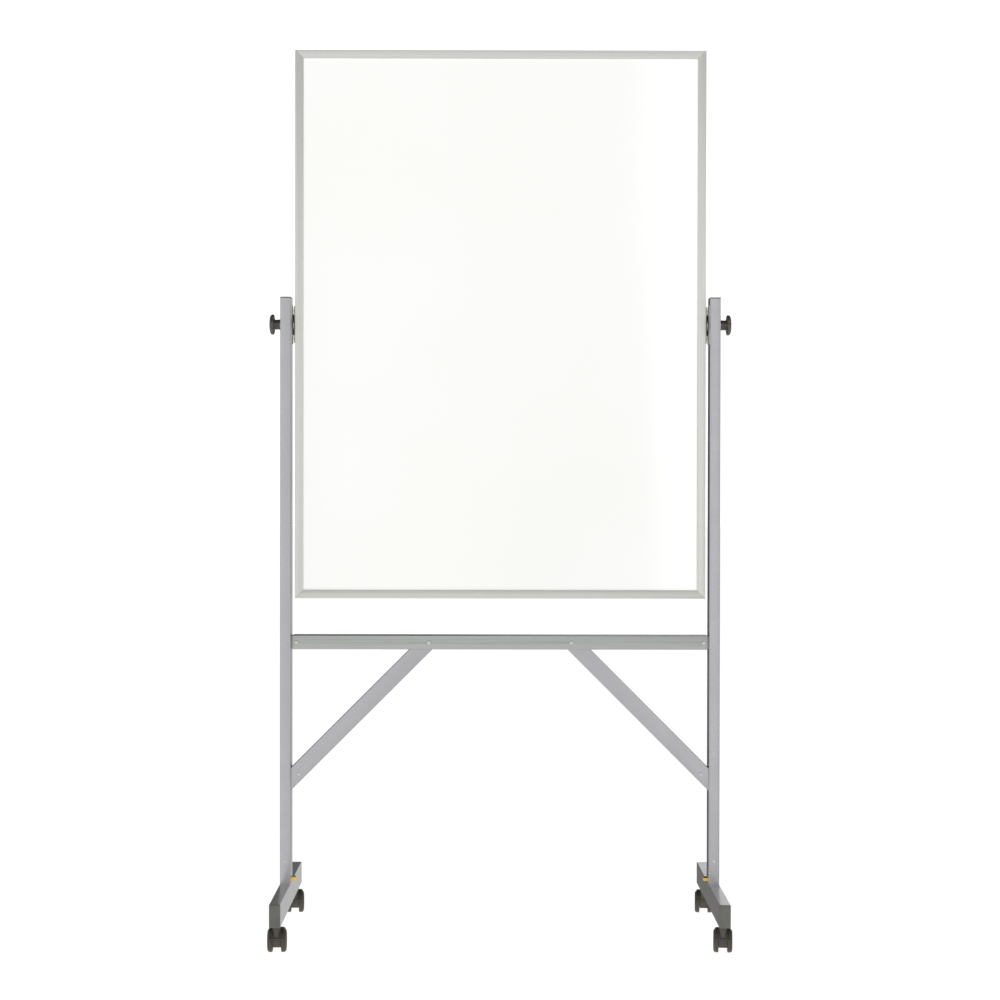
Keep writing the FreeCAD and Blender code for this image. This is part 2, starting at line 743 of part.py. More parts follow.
def make_foot(foot_bolt, spigot_screw):
    """A rectangular tube foot, its end caps and the spigot that joins it to the upright."""
    centre_x = "upright_inner + upright_width / 2"
    centre_z = "foot_bottom + foot_height / 2"
    tube_length = "foot_length - 2 * cap_thickness"
    tube = rect_tube("foot_tube", "XZ_Plane", 1, ("upright_width", "foot_height"), tube_length)
    place(tube, centre_x, "0", centre_z)

    foot_screw = screw("foot_screw_item", FOOT_SCREW, (centre_x, "0", "foot_bottom"), "+Z")
    spigot_x = "upright_width - 2 * tube_wall - 2 * fit_play"
    spigot_bottom = "foot_bottom + tube_wall"
    corner = (f"{centre_x} - ({spigot_x}) / 2", "-spigot_depth / 2", spigot_bottom)
    block = box("spigot_block", (spigot_x, "spigot_depth", f"spigot_top - ({spigot_bottom})"), corner)
    spigot = cut("spigot_item", block, [foot_bolt, spigot_screw, foot_screw])
    keep_mirrored_group([spigot], "upright_spigots")
    keep_mirrored_group([foot_bolt], "foot_bolts")
    keep_mirrored_group([foot_screw], "foot_screws")

    holes = []
    for end, sign in (("front", "-1"), ("rear", "1")):
        start = (centre_x, f"{sign} * (foot_length / 2 - caster_inset)", "foot_bottom - 5")
        holes.append(pin(f"socket_hole_{end}", "socket_radius", "12", start, "+Z"))
    keep_pair(cut("foot_drilled", tube, [block, foot_screw] + holes), "foot")

    caps = []
    for end, sign in (("front", "-1"), ("rear", "1")):
        lid = extrusion(f"foot_lid_{end}", "XZ_Plane",
                        [rectangle("upright_width / 2", "foot_height / 2")], "cap_thickness")
        round_edges(lid, "tube_corner", outer_edges_along(
            1, DIMENSIONS["upright_width"] / 2, DIMENSIONS["foot_height"] / 2))
        place(lid, centre_x, f"{sign} * (foot_length - cap_thickness) / 2", centre_z)
        plug_size = (spigot_x, "cap_plug", "foot_height - 2 * tube_wall - 2 * fit_play")
        plug_y = f"{sign} * (foot_length / 2 - cap_thickness - cap_plug / 2)"
        plug = centred_box(f"foot_plug_{end}", plug_size, (centre_x, plug_y, centre_z))
        caps.append(fuse(f"foot_cap_{end}", [lid, plug]))
    keep_mirrored_group(caps, "foot_end_caps")


# ---------------------------------------------------------------- casters

def caster_places():
    """Each caster's name, its stem's x and y, and how far it is swivelled at rest."""
    for end, end_sign in (("front", "-1"), ("rear", "1")):
        for side, side_sign in (("left", "-1"), ("right", "1")):
            x = f"{side_sign} * (upright_inner + upright_width / 2)"
            y = f"{end_sign} * (foot_length / 2 - caster_inset)"
            yield f"{end}_{side}", x, y, f"{side}_yaw"


def stand_on(obj, x, y, yaw):
    """Carry a piece drawn about the caster's stem to its place on the stand."""
    bind(obj, ".Placement.Rotation.Angle", yaw)
    place(obj, x, y, "0")
    return obj


def make_sockets_and_stems():
    sockets, stems = [], []
    for name, x, y, _ in caster_places():
        base = "foot_bottom - socket_flange"
        socket = turned(f"socket_{name}", [
            ("stem_radius", base),
            ("socket_flange_radius", base),
            ("socket_flange_radius", "foot_bottom"),
            ("socket_radius", "foot_bottom"),
            ("socket_radius", "socket_top"),
            ("stem_radius", "socket_top"),
        ])
        place(socket, x, y)
        sockets.append(socket)
        stem = turned(f"stem_{name}", [
            ("0", "stem_bottom"),
            ("stem_radius", "stem_bottom"),
            ("stem_radius", f"{base} - 1.6"),
            ("stem_collar_radius", f"{base} - 1.6"),
            ("stem_collar_radius", base),
            ("stem_radius", base),
            ("stem_radius", "stem_top - 2"),
            ("stem_radius - 1", "stem_top"),
            ("0", "stem_top"),
        ])
        place(stem, x, y)
        stems.append(stem)
    keep(group("sockets", sockets), "caster_sockets")
    keep(group("stems", stems), "caster_stems")


def wheel_outline():
    """Half the section of a wheel: a rounded tread, a dished outer face and a blind bore."""
    edge = "wheel_width"
    r = "wheel_radius"
    return [
        ("axle_radius + running_play", "0"),
        ("8", "0"),
        ("8", "1"),
        (f"{r} - 6", "1"),
        (f"{r} - 5", "0"),
        (r, "0"),
        (r, edge),
        (f"{r} - 6.5", edge),
        (f"{r} - 7.5", f"{edge} - wheel_dish"),
        ("7.5", f"{edge} - wheel_dish"),
        ("6.5", f"{edge} - 0.4"),
        ("0", f"{edge} - 0.4"),
        ("0", f"{edge} - wheel_wall"),
        ("axle_radius + running_play", f"{edge} - wheel_wall"),
    ]


def hood_outline():
    """Half the section of the hood's outside, a drum about the axle."""
    return [
        ("0", "-hood_half"),
        ("hood_radius", "-hood_half"),
        ("hood_radius", "hood_half"),
        ("0", "hood_half"),
    ]


def make_hood(name):
    """The swivelling body: a cover over both wheels, the web between them and the stem's barrel."""
    axle_line = ("caster_trail", "wheel_radius")
    drum = turned(f"hood_drum_{name}", hood_outline())
    half = DIMENSIONS["hood_half"]
    round_edges(drum, "hood_round", circle_at(DIMENSIONS["hood_radius"], -half, half))
    aim(drum, ("0", *axle_line), "+X")
    below = doc.addObject("Part::Box", f"hood_below_{name}")
    for prop, size in (("Length", 80), ("Width", 120), ("Height", 60)):
        bind(below, prop, size)
    tilt = FreeCAD.Rotation(AXES["+X"], 0)
    below.Placement = FreeCAD.Placement(FreeCAD.Vector(), tilt)
    bind(below, ".Placement.Rotation.Angle", "-hood_tilt")
    place(
        below,
        "-40",
        "caster_trail - 60 * cos(hood_tilt) - (60 - hood_cut) * sin(hood_tilt)",
        "wheel_radius + 60 * sin(hood_tilt) - (60 - hood_cut) * cos(hood_tilt)",
    )
    cover = cut(f"hood_cover_{name}", drum, [below])
    web_start = ("-web_half", *axle_line)
    web_disc = pin(f"hood_web_disc_{name}", "web_radius", "2 * web_half", web_start, "+X")
    barrel_length = "barrel_top - wheel_radius"
    barrel = pin(f"hood_barrel_{name}", "barrel_radius", barrel_length, ("0", "0", "wheel_radius"), "+Z")
    neck_size = ("neck_width", "neck_reach", "barrel_top - neck_bottom")
    neck = box(f"hood_neck_{name}", neck_size, ("-neck_width / 2", "-neck_reach", "neck_bottom"))
    mass = fuse(f"hood_mass_{name}", [cover, web_disc, barrel, neck])
    wells = []
    for side, start, toward in (("plus", "web_half", "+X"), ("minus", "-web_half", "-X")):
        wells.append(pin(f"hood_well_{side}_{name}", "hood_well", "30", (start, *axle_line), toward))
    bore_start = ("0", "0", "stem_bottom - 0.6")
    bore = pin(f"hood_bore_{name}", "stem_radius + running_play", "40", bore_start, "+Z")
    axle_bore = pin(f"hood_axle_bore_{name}", "axle_radius", "60", ("-30", *axle_line), "+X")
    floor_gap = box(f"hood_floor_gap_{name}", ("80", "120", "web_bottom"), ("-40", "-60", "0"))
    return cut(f"hood_{name}", mass, wells + [bore, axle_bore, floor_gap])


def make_casters():
    rim_radius = DIMENSIONS["wheel_radius"]
    rim_width = DIMENSIONS["wheel_width"]
    axle_half = "(wheel_gap + wheel_width - wheel_wall - fit_play)"
    for name, x, y, yaw in caster_places():
        keep(stand_on(make_hood(name), x, y, yaw), f"caster_hood_{name}")
        axle_start = (f"-{axle_half}", "caster_trail", "wheel_radius")
        axle = pin(f"axle_pin_{name}", "axle_radius", f"2 * {axle_half}", axle_start, "+X")
        keep(stand_on(group(f"axle_{name}", [axle]), x, y, yaw), f"caster_axle_{name}")
        for side, sign, toward in (("a", "-", "-X"), ("b", "", "+X")):
            start = (f"{sign}wheel_gap", "caster_trail", "wheel_radius")
            wheel = turned(f"wheel_{side}_{name}", wheel_outline())
            round_edges(wheel, "wheel_round", circle_at(rim_radius, rim_width))
            round_edges(wheel, "wheel_inner_round", circle_at(rim_radius, 0))
            aim(wheel, start, toward)
            carried = group(f"wheel_{side}_{name}_carried", [wheel])
            keep(stand_on(carried, x, y, yaw), f"caster_wheel_{name}_{side}")


# ---------------------------------------------------------------- assembly

def build():
    make_sheet()
    make_panel()
    plate_screws, rivets = make_pivot()
    make_board_frame(plate_screws)
    make_corner_keys()
    make_knob()

    rail_z = "rail_bottom + rail_height / 2"
    bolts = [
        countersunk_bolt("rail_bolt_front", "-rail_bolt_out", rail_z),
        countersunk_bolt("rail_bolt_back", "rail_bolt_out", rail_z),
        countersunk_bolt("brace_bolt", "0", "brace_bolt_height"),
    ]
    keep_mirrored_group(bolts, "frame_bolts")
    foot_bolt = make_foot_bolt()
    spigot_screw = make_spigot_screw()
    make_upright(rivets, bolts, foot_bolt, spigot_screw)
    end_screw, rail_brace_screw, tongue = make_rail(bolts)
    brace_screw = make_brace(tongue, bolts[2])
    keep_mirrored_group([end_screw, rail_brace_screw, brace_screw, spigot_screw], "frame_screws")
    make_foot(foot_bolt, spigot_screw)
    make_sockets_and_stems()
    make_casters()
    doc.recompute()


def check():
    """Stop if any object failed to compute or any sub-part has no valid shape."""
    for obj in doc.Objects:
        if "Invalid" in obj.State or "Error" in obj.State:
            raise RuntimeError(f"{obj.Name} failed: {obj.State}")
    for obj in sub_parts:
        if obj.Shape.isNull() or not obj.Shape.isValid() or not obj.Shape.Solids:
            raise RuntimeError(f"{obj.Label} has no valid solid")


def export():
    os.makedirs("parts", exist_ok=True)
    for obj in sub_parts:
        obj.Shape.exportStep(f"parts/{obj.Label}.step")
        bounds = obj.Shape.BoundBox
        low = [round(v, 1) for v in (bounds.XMin, bounds.YMin, bounds.ZMin)]
        high = [round(v, 1) for v in (bounds.XMax, bounds.YMax, bounds.ZMax)]
        print(f"{obj.Label}: {len(obj.Shape.Solids)} solid(s), {low} to {high}")
    print(len(sub_parts), "sub-parts")


build()
check()
export()
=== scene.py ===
"""The looks of a rolling whiteboard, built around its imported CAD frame.

Metres, +Z up, the user stands at -Y. Places and sizes are read from the frame.
"""
import json
import math

import bmesh
import bpy
from mathutils import Matrix, Vector


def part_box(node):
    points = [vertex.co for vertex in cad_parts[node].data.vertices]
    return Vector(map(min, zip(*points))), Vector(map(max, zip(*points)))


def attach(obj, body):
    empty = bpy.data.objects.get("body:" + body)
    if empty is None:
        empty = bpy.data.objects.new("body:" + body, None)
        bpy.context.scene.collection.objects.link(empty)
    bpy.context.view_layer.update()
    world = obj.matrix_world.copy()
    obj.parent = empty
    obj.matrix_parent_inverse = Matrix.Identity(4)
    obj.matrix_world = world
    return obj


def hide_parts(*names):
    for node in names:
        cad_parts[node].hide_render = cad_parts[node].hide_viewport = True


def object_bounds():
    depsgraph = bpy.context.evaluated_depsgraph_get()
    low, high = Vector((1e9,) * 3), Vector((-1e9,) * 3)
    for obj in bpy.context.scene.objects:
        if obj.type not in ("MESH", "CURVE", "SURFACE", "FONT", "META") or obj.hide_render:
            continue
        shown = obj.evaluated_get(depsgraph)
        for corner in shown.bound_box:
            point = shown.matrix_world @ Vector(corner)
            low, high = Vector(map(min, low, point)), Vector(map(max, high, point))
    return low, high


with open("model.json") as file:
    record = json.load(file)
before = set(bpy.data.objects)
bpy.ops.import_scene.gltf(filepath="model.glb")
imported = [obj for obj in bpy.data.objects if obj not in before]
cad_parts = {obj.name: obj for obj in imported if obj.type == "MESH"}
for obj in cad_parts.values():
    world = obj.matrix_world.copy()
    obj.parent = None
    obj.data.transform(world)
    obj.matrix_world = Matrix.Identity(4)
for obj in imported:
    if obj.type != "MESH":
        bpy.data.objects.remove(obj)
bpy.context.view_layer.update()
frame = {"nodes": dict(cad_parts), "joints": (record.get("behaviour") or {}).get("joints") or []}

MM = 0.001
FULL_TURN = 2 * math.pi
SIDES = {"left": -1, "right": 1}
ENDS = {"front": -1, "rear": 1}

# Vertices closer than this are one: in a mesh drawn here, and in a CAD mesh.
SAME_POINT = 1e-7
SAME_CAD_POINT = 2e-6
# Degrees between two faces of a CAD node from which their edge is shaded sharp, and is rounded.
SHARP_ANGLE = 32
ROUNDED_ANGLE = 40


# ---------------------------------------------------------------- shader helpers

def tone(red, green, blue):
    """A display colour, 0 to 255 a channel, as the linear colour that shaders take."""
    def linear(channel):
        share = channel / 255
        return share / 12.92 if share <= 0.04045 else ((share + 0.055) / 1.055) ** 2.4
    return (linear(red), linear(green), linear(blue), 1.0)


def shaded(colour, factor, lift=0.0):
    """A linear colour made darker or lighter, no channel above one."""
    return tuple(min(1.0, factor * channel + lift) for channel in colour[:3]) + (1.0,)


class Shader:
    """A node tree that is built one node at a time."""

    def __init__(self, tree):
        self.tree = tree

    def feed(self, socket, value):
        if isinstance(value, bpy.types.NodeSocket):
            self.tree.links.new(value, socket)
        else:
            socket.default_value = value

    def node(self, kind, settings=(), **inputs):
        made = self.tree.nodes.new(kind)
        for name, value in dict(settings).items():
            setattr(made, name, value)
        for name, value in inputs.items():
            self.feed(made.inputs[name.replace("_", " ")], value)
        return made

    def maths(self, operation, *values):
        made = self.tree.nodes.new("ShaderNodeMath")
        made.operation = operation
        for socket, value in zip(made.inputs, values):
            self.feed(socket, value)
        return made.outputs[0]

    def product(self, first, *others):
        for other in others:
            first = self.maths("MULTIPLY", first, other)
        return first

    def dot(self, first, second):
        made = self.tree.nodes.new("ShaderNodeVectorMath")
        made.operation = "DOT_PRODUCT"
        self.feed(made.inputs[0], first)
        self.feed(made.inputs[1], second)
        return made.outputs["Value"]

    def spread(self, value, low, high, to_low=0.0, to_high=1.0, smooth=True):
        """Carry a value from one range to another, clamped at both ends."""
        kind = "SMOOTHSTEP" if smooth else "LINEAR"
        made = self.node("ShaderNodeMapRange", {"interpolation_type": kind}, Value=value)
        for name, number in (("From Min", low), ("From Max", high), ("To Min", to_low), ("To Max", to_high)):
            made.inputs[name].default_value = number
        return made.outputs["Result"]

    def mix(self, share, first, second, blend="MIX"):
        made = self.node("ShaderNodeMix", {"data_type": "RGBA", "blend_type": blend})
        self.feed(made.inputs["Factor"], share)
        self.feed(made.inputs[6], first)
        self.feed(made.inputs[7], second)
        return made.outputs[2]


class Material(Shader):
    """A procedural material whose patterns are laid out in the object's own metres."""

    def __init__(self, name):
        self.material = bpy.data.materials.new(name)
        self.material.use_nodes = True
        super().__init__(self.material.node_tree)
        self.surface = self.tree.nodes["Principled BSDF"]
        self.place = self.node("ShaderNodeTexCoord").outputs["Object"]

    def stretched(self, x, y, z):
        return self.node("ShaderNodeMapping", Vector=self.place, Scale=(x, y, z)).outputs[0]

    def noise(self, scale, detail=2.0, vector=None):
        place = vector or self.place
        return self.node("ShaderNodeTexNoise", Vector=place, Scale=scale, Detail=detail).outputs[0]

    def cells(self, scale):
        return self.node("ShaderNodeTexVoronoi", Vector=self.place, Scale=scale).outputs["Color"]

    def bump(self, height, distance, strength=1.0):
        return self.node("ShaderNodeBump", Height=height, Distance=distance, Strength=strength).outputs[0]

    def edges(self, radius, low=0.80, high=0.99):
        """One on edges and corners, nothing on flat faces."""
        rounded = self.node("ShaderNodeBevel", {"samples": 4}, Radius=radius).outputs[0]
        true = self.node("ShaderNodeNewGeometry").outputs["Normal"]
        return self.spread(self.dot(rounded, true), low, high, 1.0, 0.0)

    def finish(self, **inputs):
        for name, value in inputs.items():
            self.feed(self.surface.inputs[name.replace("_", " ")], value)
        return self.material


# ---------------------------------------------------------------- materials

def enamel_face():
    """Glossy white enamel, slightly wavy, with the faint haze that wiping leaves."""
    made = Material("enamel_face")
    haze = made.noise(3.5, 4, made.stretched(1.0, 1.0, 0.45))
    cloud = made.noise(1.6, 3)
    colour = made.mix(made.spread(cloud, 0.35, 0.65), tone(246, 247, 243), tone(248, 248, 246))
    return made.finish(
        Base_Color=colour,
        Roughness=made.spread(haze, 0.35, 0.7, 0.055, 0.10),
        Specular_IOR_Level=0.55,
        Normal=made.bump(made.noise(9.0, 2), 0.0012, 0.05),
    )


def drawn_aluminium(name, colour, along):
    """Satin anodised extrusion, its fine draw lines running along one axis."""
    made = Material(name)
    fine = [4200.0] * 3
    fine["XYZ".index(along)] = 9.0
    broad = [330.0] * 3
    broad["XYZ".index(along)] = 1.5
    lines = made.noise(1.0, 3, made.stretched(*fine))
    bands = made.noise(1.0, 2, made.stretched(*broad))
    darker = shaded(colour, 0.90)
    lighter = shaded(colour, 1.05)
    base = made.mix(made.spread(bands, 0.3, 0.7), darker, lighter)
    base = made.mix(made.product(made.spread(lines, 0.3, 0.7), 0.35), base, darker)
    base = made.mix(made.product(made.edges(0.0009), 0.30), base, lighter)
    return made.finish(
        Base_Color=base,
        Metallic=0.50,
        Roughness=made.spread(bands, 0.3, 0.7, 0.34, 0.42),
        Normal=made.bump(lines, 0.00008, 0.5),
    )


def silver_paint(name, colour):
    """Silver powder coat on the tubes: fine metal flake, orange peel and lighter edges."""
    made = Material(name)
    flake = made.noise(2600.0, 2)
    cloud = made.noise(14.0, 4)
    peel = made.noise(620.0, 2)
    darker = shaded(colour, 0.86)
    lighter = shaded(colour, 1.12)
    base = made.mix(made.spread(flake, 0.3, 0.7), darker, lighter)
    base = made.mix(made.product(made.spread(cloud, 0.45, 0.75), 0.10), base, darker)
    base = made.mix(made.product(made.edges(0.0012), 0.35), base, tone(214, 214, 216))
    return made.finish(
        Base_Color=base,
        Metallic=0.86,
        Roughness=made.spread(cloud, 0.3, 0.7, 0.27, 0.31),
        Normal=made.bump(peel, 0.00020, 0.06),
        Coat_Weight=0.35,
        Coat_Roughness=0.08,
    )


def bare_steel(name, colour, roughness, spangle, metal=0.95):
    """Plated steel with a crystalline spangle, cells per metre as given."""
    made = Material(name)
    crystal = made.node("ShaderNodeSeparateColor", Color=made.cells(spangle)).outputs[0]
    stain = made.noise(90.0, 4)
    darker = shaded(colour, 0.62)
    base = made.mix(crystal, darker, colour)
    base = made.mix(made.product(made.spread(stain, 0.4, 0.8), 0.45), base, darker)
    return made.finish(
        Base_Color=base,
        Metallic=metal,
        Roughness=made.spread(crystal, 0.0, 1.0, roughness, roughness + 0.14),
        Normal=made.bump(made.noise(1500.0, 2), 0.0001, 0.15),
    )


def yellow_zinc():
    """Yellow chromate plating, drifting between brass, straw and a little green."""
    made = Material("yellow_zinc")
    drift = made.noise(260.0, 3)
    straw = made.mix(made.spread(drift, 0.35, 0.65), tone(206, 160, 62), tone(240, 205, 104))
    base = made.mix(made.spread(made.noise(520.0, 2), 0.55, 0.8), straw, tone(196, 182, 110))
    return made.finish(Base_Color=base, Metallic=0.9, Roughness=0.30)


def moulded_plastic(name, colour, roughness, grain=2300.0, depth=0.00016, dust=0.10):
    """Injection-moulded plastic with a fine spark-eroded grain and polished, lighter edges."""
    made = Material(name)
    texture = made.noise(grain, 2)
    cloud = made.noise(38.0, 3)
    darker = shaded(colour, 0.72)
    worn = shaded(colour, 1.9, 0.012)
    base = made.mix(made.spread(cloud, 0.3, 0.7), darker, colour)
    base = made.mix(made.product(made.edges(0.0009), dust * 4), base, worn)
    return made.finish(
        Base_Color=base,
        Roughness=made.spread(cloud, 0.3, 0.7, roughness, roughness + 0.08),
        Specular_IOR_Level=0.42,
        Normal=made.bump(texture, depth, 0.35),
    )


def fibre_core():
    """The matt board core behind the enamel sheets."""
    made = Material("fibre_core")
    fibres = made.noise(1.0, 4, made.stretched(900.0, 900.0, 160.0))
    base = made.mix(made.spread(fibres, 0.3, 0.7), tone(120, 92, 62), tone(168, 136, 98))
    return made.finish(Base_Color=base, Roughness=0.85, Normal=made.bump(fibres, 0.0002, 0.4))


# bare_steel takes a roughness, cells per metre and how metallic it is; moulded_plastic takes
# a roughness, grains per metre and their depth.
MATERIALS = {
    "writing_surface": enamel_face(),
    "core": fibre_core(),
    "frame_upright": drawn_aluminium("frame_upright", tone(195, 195, 190), "Z"),
    # The top and bottom frame pieces are the same extrusion as the sides; their slightly darker tone is
    # painted shade.
    "frame_level_painted_shade": drawn_aluminium("frame_level_painted_shade", tone(188, 188, 184), "X"),
    "rail": drawn_aluminium("rail", tone(159, 161, 159), "X"),
    "stand_tube": silver_paint("stand_tube", tone(147, 147, 150)),
    # The feet have the same silver coat as the uprights; their lighter tone is painted light.
    "foot_tube": silver_paint("foot_tube", tone(174, 175, 173)),
    "bracket": moulded_plastic("bracket", tone(140, 141, 139), 0.5),
    "spigot": bare_steel("spigot", tone(176, 178, 182), 0.36, 420.0),
    # The board's plates are the same plated steel as the upright's plates; their much darker tone is painted
    # shade.
    "board_plate": bare_steel("board_plate", tone(112, 112, 106), 0.40, 620.0, 0.2),
    "upright_plate": bare_steel("upright_plate", tone(205, 205, 198), 0.40, 620.0, 0.2),
    "zinc_steel": bare_steel("zinc_steel", tone(205, 206, 208), 0.26, 900.0),
    "screw_zinc": bare_steel("screw_zinc", tone(214, 216, 206), 0.34, 900.0, 0.25),
    "yellow_zinc": yellow_zinc(),
    "end_cap": moulded_plastic("end_cap", tone(97, 97, 91), 0.42),
    "upright_cap": moulded_plastic("upright_cap", tone(88, 89, 88), 0.45),
    "friction": moulded_plastic("friction", tone(26, 25, 24), 0.55, 1400.0),
    "knob": moulded_plastic("knob", tone(76, 73, 67), 0.36, 2600.0, 0.00012),
    "caster": moulded_plastic("caster", tone(71, 66, 58), 0.44),
    "wheel": moulded_plastic("wheel", tone(66, 62, 53), 0.50, 1900.0),
    "insert": bare_steel("insert", tone(214, 178, 108), 0.30, 1100.0),
}

# How each CAD node is dressed, by the start of its name: a material and an edge radius in
# millimetres. The first row that fits counts. Nodes that a piece replaces are dressed as well.
NODE_LOOKS = (
    ("writing_sheet", "writing_surface", 0.0),
    ("board_core", "core", 0.0),
    ("board_frame_left", "frame_upright", 0.35),
    ("board_frame_right", "frame_upright", 0.35),
    ("board_frame", "frame_level_painted_shade", 0.35),
    ("corner_keys", "bracket", 0.0),
    ("pivot_plate_screws", "zinc_steel", 0.2),
    ("pivot_plate", "board_plate", 0.3),
    ("pivot_stud", "zinc_steel", 0.0),
    ("friction_disc", "friction", 0.8),
    ("knob_washer", "zinc_steel", 0.2),
    ("knob_insert", "insert", 0.0),
    ("knob", "knob", 0.3),
    ("upright_caps", "upright_cap", 0.6),
    ("upright_plates", "upright_plate", 0.3),
    ("upright_plate_rivets", "zinc_steel", 0.2),
    ("upright_spigots", "spigot", 0.3),
    ("upright", "stand_tube", 0.0),
    ("pivot_bushing", "friction", 0.0),
    ("cross_rail", "rail", 0.25),
    ("rail_end_brackets", "bracket", 0.3),
    ("brace_brackets", "bracket", 0.3),
    ("brace", "stand_tube", 0.0),
    ("frame_screws", "zinc_steel", 0.2),
    ("frame_bolts", "zinc_steel", 0.3),
    ("foot_end_caps", "end_cap", 0.6),
    ("foot_bolts", "yellow_zinc", 0.3),
    ("foot_screws", "zinc_steel", 0.3),
    ("foot", "foot_tube", 0.0),
    ("caster_sockets", "zinc_steel", 0.0),
    ("caster_stems", "zinc_steel", 0.0),
    ("caster_hood", "caster", 0.4),
    ("caster_axle", "zinc_steel", 0.0),
    ("caster_wheel", "wheel", 0.0),
)


def smoothing_tree():
    """A modifier tree that shades curved faces smooth and keeps real edges sharp."""
    tree = bpy.data.node_groups.new("smooth_by_angle", "GeometryNodeTree")
    tree.interface.new_socket("Geometry", in_out="INPUT", socket_type="NodeSocketGeometry")
    tree.interface.new_socket("Geometry", in_out="OUTPUT", socket_type="NodeSocketGeometry")
    shape_in = tree.nodes.new("NodeGroupInput")
    shape_out = tree.nodes.new("NodeGroupOutput")
    angle = tree.nodes.new("GeometryNodeInputMeshEdgeAngle")
    sharp = tree.nodes.new("FunctionNodeCompare")
    sharp.operation = "GREATER_THAN"
    sharp.inputs[1].default_value = math.radians(SHARP_ANGLE)
    tree.links.new(angle.outputs["Unsigned Angle"], sharp.inputs[0])
    faces = tree.nodes.new("GeometryNodeSetShadeSmooth")
    faces.domain = "FACE"
    edges = tree.nodes.new("GeometryNodeSetShadeSmooth")
    edges.domain = "EDGE"
    edges.inputs["Shade Smooth"].default_value = False
    tree.links.new(shape_in.outputs[0], faces.inputs["Geometry"])
    tree.links.new(faces.outputs[0], edges.inputs["Geometry"])
    tree.links.new(sharp.outputs[0], edges.inputs["Selection"])
    tree.links.new(edges.outputs[0], shape_out.inputs[0])
    return tree


def dress_cad_nodes():
    """Give each CAD node its material, and round its edges with modifiers that leave its mesh alone."""
    smoothing = smoothing_tree()
    for name, node in frame["nodes"].items():
        look, radius = next((look, radius) for start, look, radius in NODE_LOOKS if name.startswith(start))
        node.data.materials.clear()
        node.data.materials.append(MATERIALS[look])
        if node.data.has_custom_normals:
            node.data.attributes.remove(node.data.attributes["custom_normal"])
        weld = node.modifiers.new("weld", "WELD")
        weld.merge_threshold = SAME_CAD_POINT
        if radius:
            bevel = node.modifiers.new("edge", "BEVEL")
            bevel.width = radius * MM
            bevel.segments = 2
            bevel.limit_method = "ANGLE"
            bevel.angle_limit = math.radians(ROUNDED_ANGLE)
        smooth = node.modifiers.new("smooth", "NODES")
        smooth.node_group = smoothing


# ---------------------------------------------------------------- mesh helpers

def towards(axis, place=(0.0, 0.0, 0.0)):
    """The matrix that lays local +Z along an axis, with the origin at a place."""
    turn = Vector((0.0, 0.0, 1.0)).rotation_difference(Vector(axis))
    return Matrix.Translation(Vector(place)) @ turn.to_matrix().to_4x4()


def join_rings(bm, low, high):
    """Skin the strip between two rings; a ring of one vertex is a pole."""
    count = max(len(low), len(high))
    for k in range(count):
        corners = [low[k % len(low)], low[(k + 1) % len(low)], high[(k + 1) % len(high)], high[k % len(high)]]
        bm.faces.new(list(dict.fromkeys(corners)))


def lathe(bm, profile, place, steps=48, swell=None, closed=False, sink=None):
    """Turn a profile of (radius, height) about local Z; swell sets a point's radius, sink lowers it."""
    rings = []
    for radius, height in profile:
        if radius < SAME_POINT:
            rings.append([bm.verts.new(place @ Vector((0.0, 0.0, height)))])
            continue
        ring = []
        for k in range(steps):
            angle = FULL_TURN * k / steps
            reach = swell(angle, radius, height) if swell else radius
            level = height - (sink(angle, radius, height) if sink else 0.0)
            point = Vector((reach * math.cos(angle), reach * math.sin(angle), level))
            ring.append(bm.verts.new(place @ point))
        rings.append(ring)
    for low, high in zip(rings, rings[1:]):
        join_rings(bm, low, high)
    if closed:
        join_rings(bm, rings[-1], rings[0])


def prism(bm, outline, low, high, place):
    """Extrude a flat outline of (x, y) along local Z."""
    rings = [[bm.verts.new(place @ Vector((x, y, level))) for x, y in outline] for level in (low, high)]
    join_rings(bm, *rings)
    for ring in rings:
        bm.faces.new(ring)


def arc(centre, radius, start, end, steps):
    """Points along an arc, its angles in degrees."""
    for k in range(steps + 1):
        angle = math.radians(start + (end - start) * k / steps)
        yield (centre[0] + radius * math.cos(angle), centre[1] + radius * math.sin(angle))


def rounded_rectangle(half_x, half_y, radius, steps=4):
    corners = ((1, 1, 0), (-1, 1, 90), (-1, -1, 180), (1, -1, 270))
    outline = []
    for sign_x, sign_y, start in corners:
        centre = (sign_x * (half_x - radius), sign_y * (half_y - radius))
        outline += arc(centre, radius, start, start + 90, steps)
    return outline


def soft_slab(bm, half_x, half_y, corner, thickness, edge, place, crown=0.0):
    """A plate with rounded corners, a rounded top edge and, if asked, a slightly crowned top."""
    levels = [(0.0, 0.0)]
    levels += [(edge * (1 - math.cos(a)), thickness - edge + edge * math.sin(a))
               for a in (math.radians(15 * k) for k in range(7))]
    rings = []
    for inset, level in levels:
        outline = rounded_rectangle(half_x - inset, half_y - inset, max(corner - inset, 0.2 * MM))
        rings.append([bm.verts.new(place @ Vector((x, y, level))) for x, y in outline])
    for low, high in zip(rings, rings[1:]):
        join_rings(bm, low, high)
    bm.faces.new(rings[0])
    top = thickness + crown
    inner = rounded_rectangle(0.6 * half_x, 0.6 * half_y, max(0.6 * corner, 0.2 * MM))
    inner_ring = [bm.verts.new(place @ Vector((x, y, thickness + 0.8 * crown))) for x, y in inner]
    join_rings(bm, rings[-1], inner_ring)
    join_rings(bm, inner_ring, [bm.verts.new(place @ Vector((0.0, 0.0, top)))])


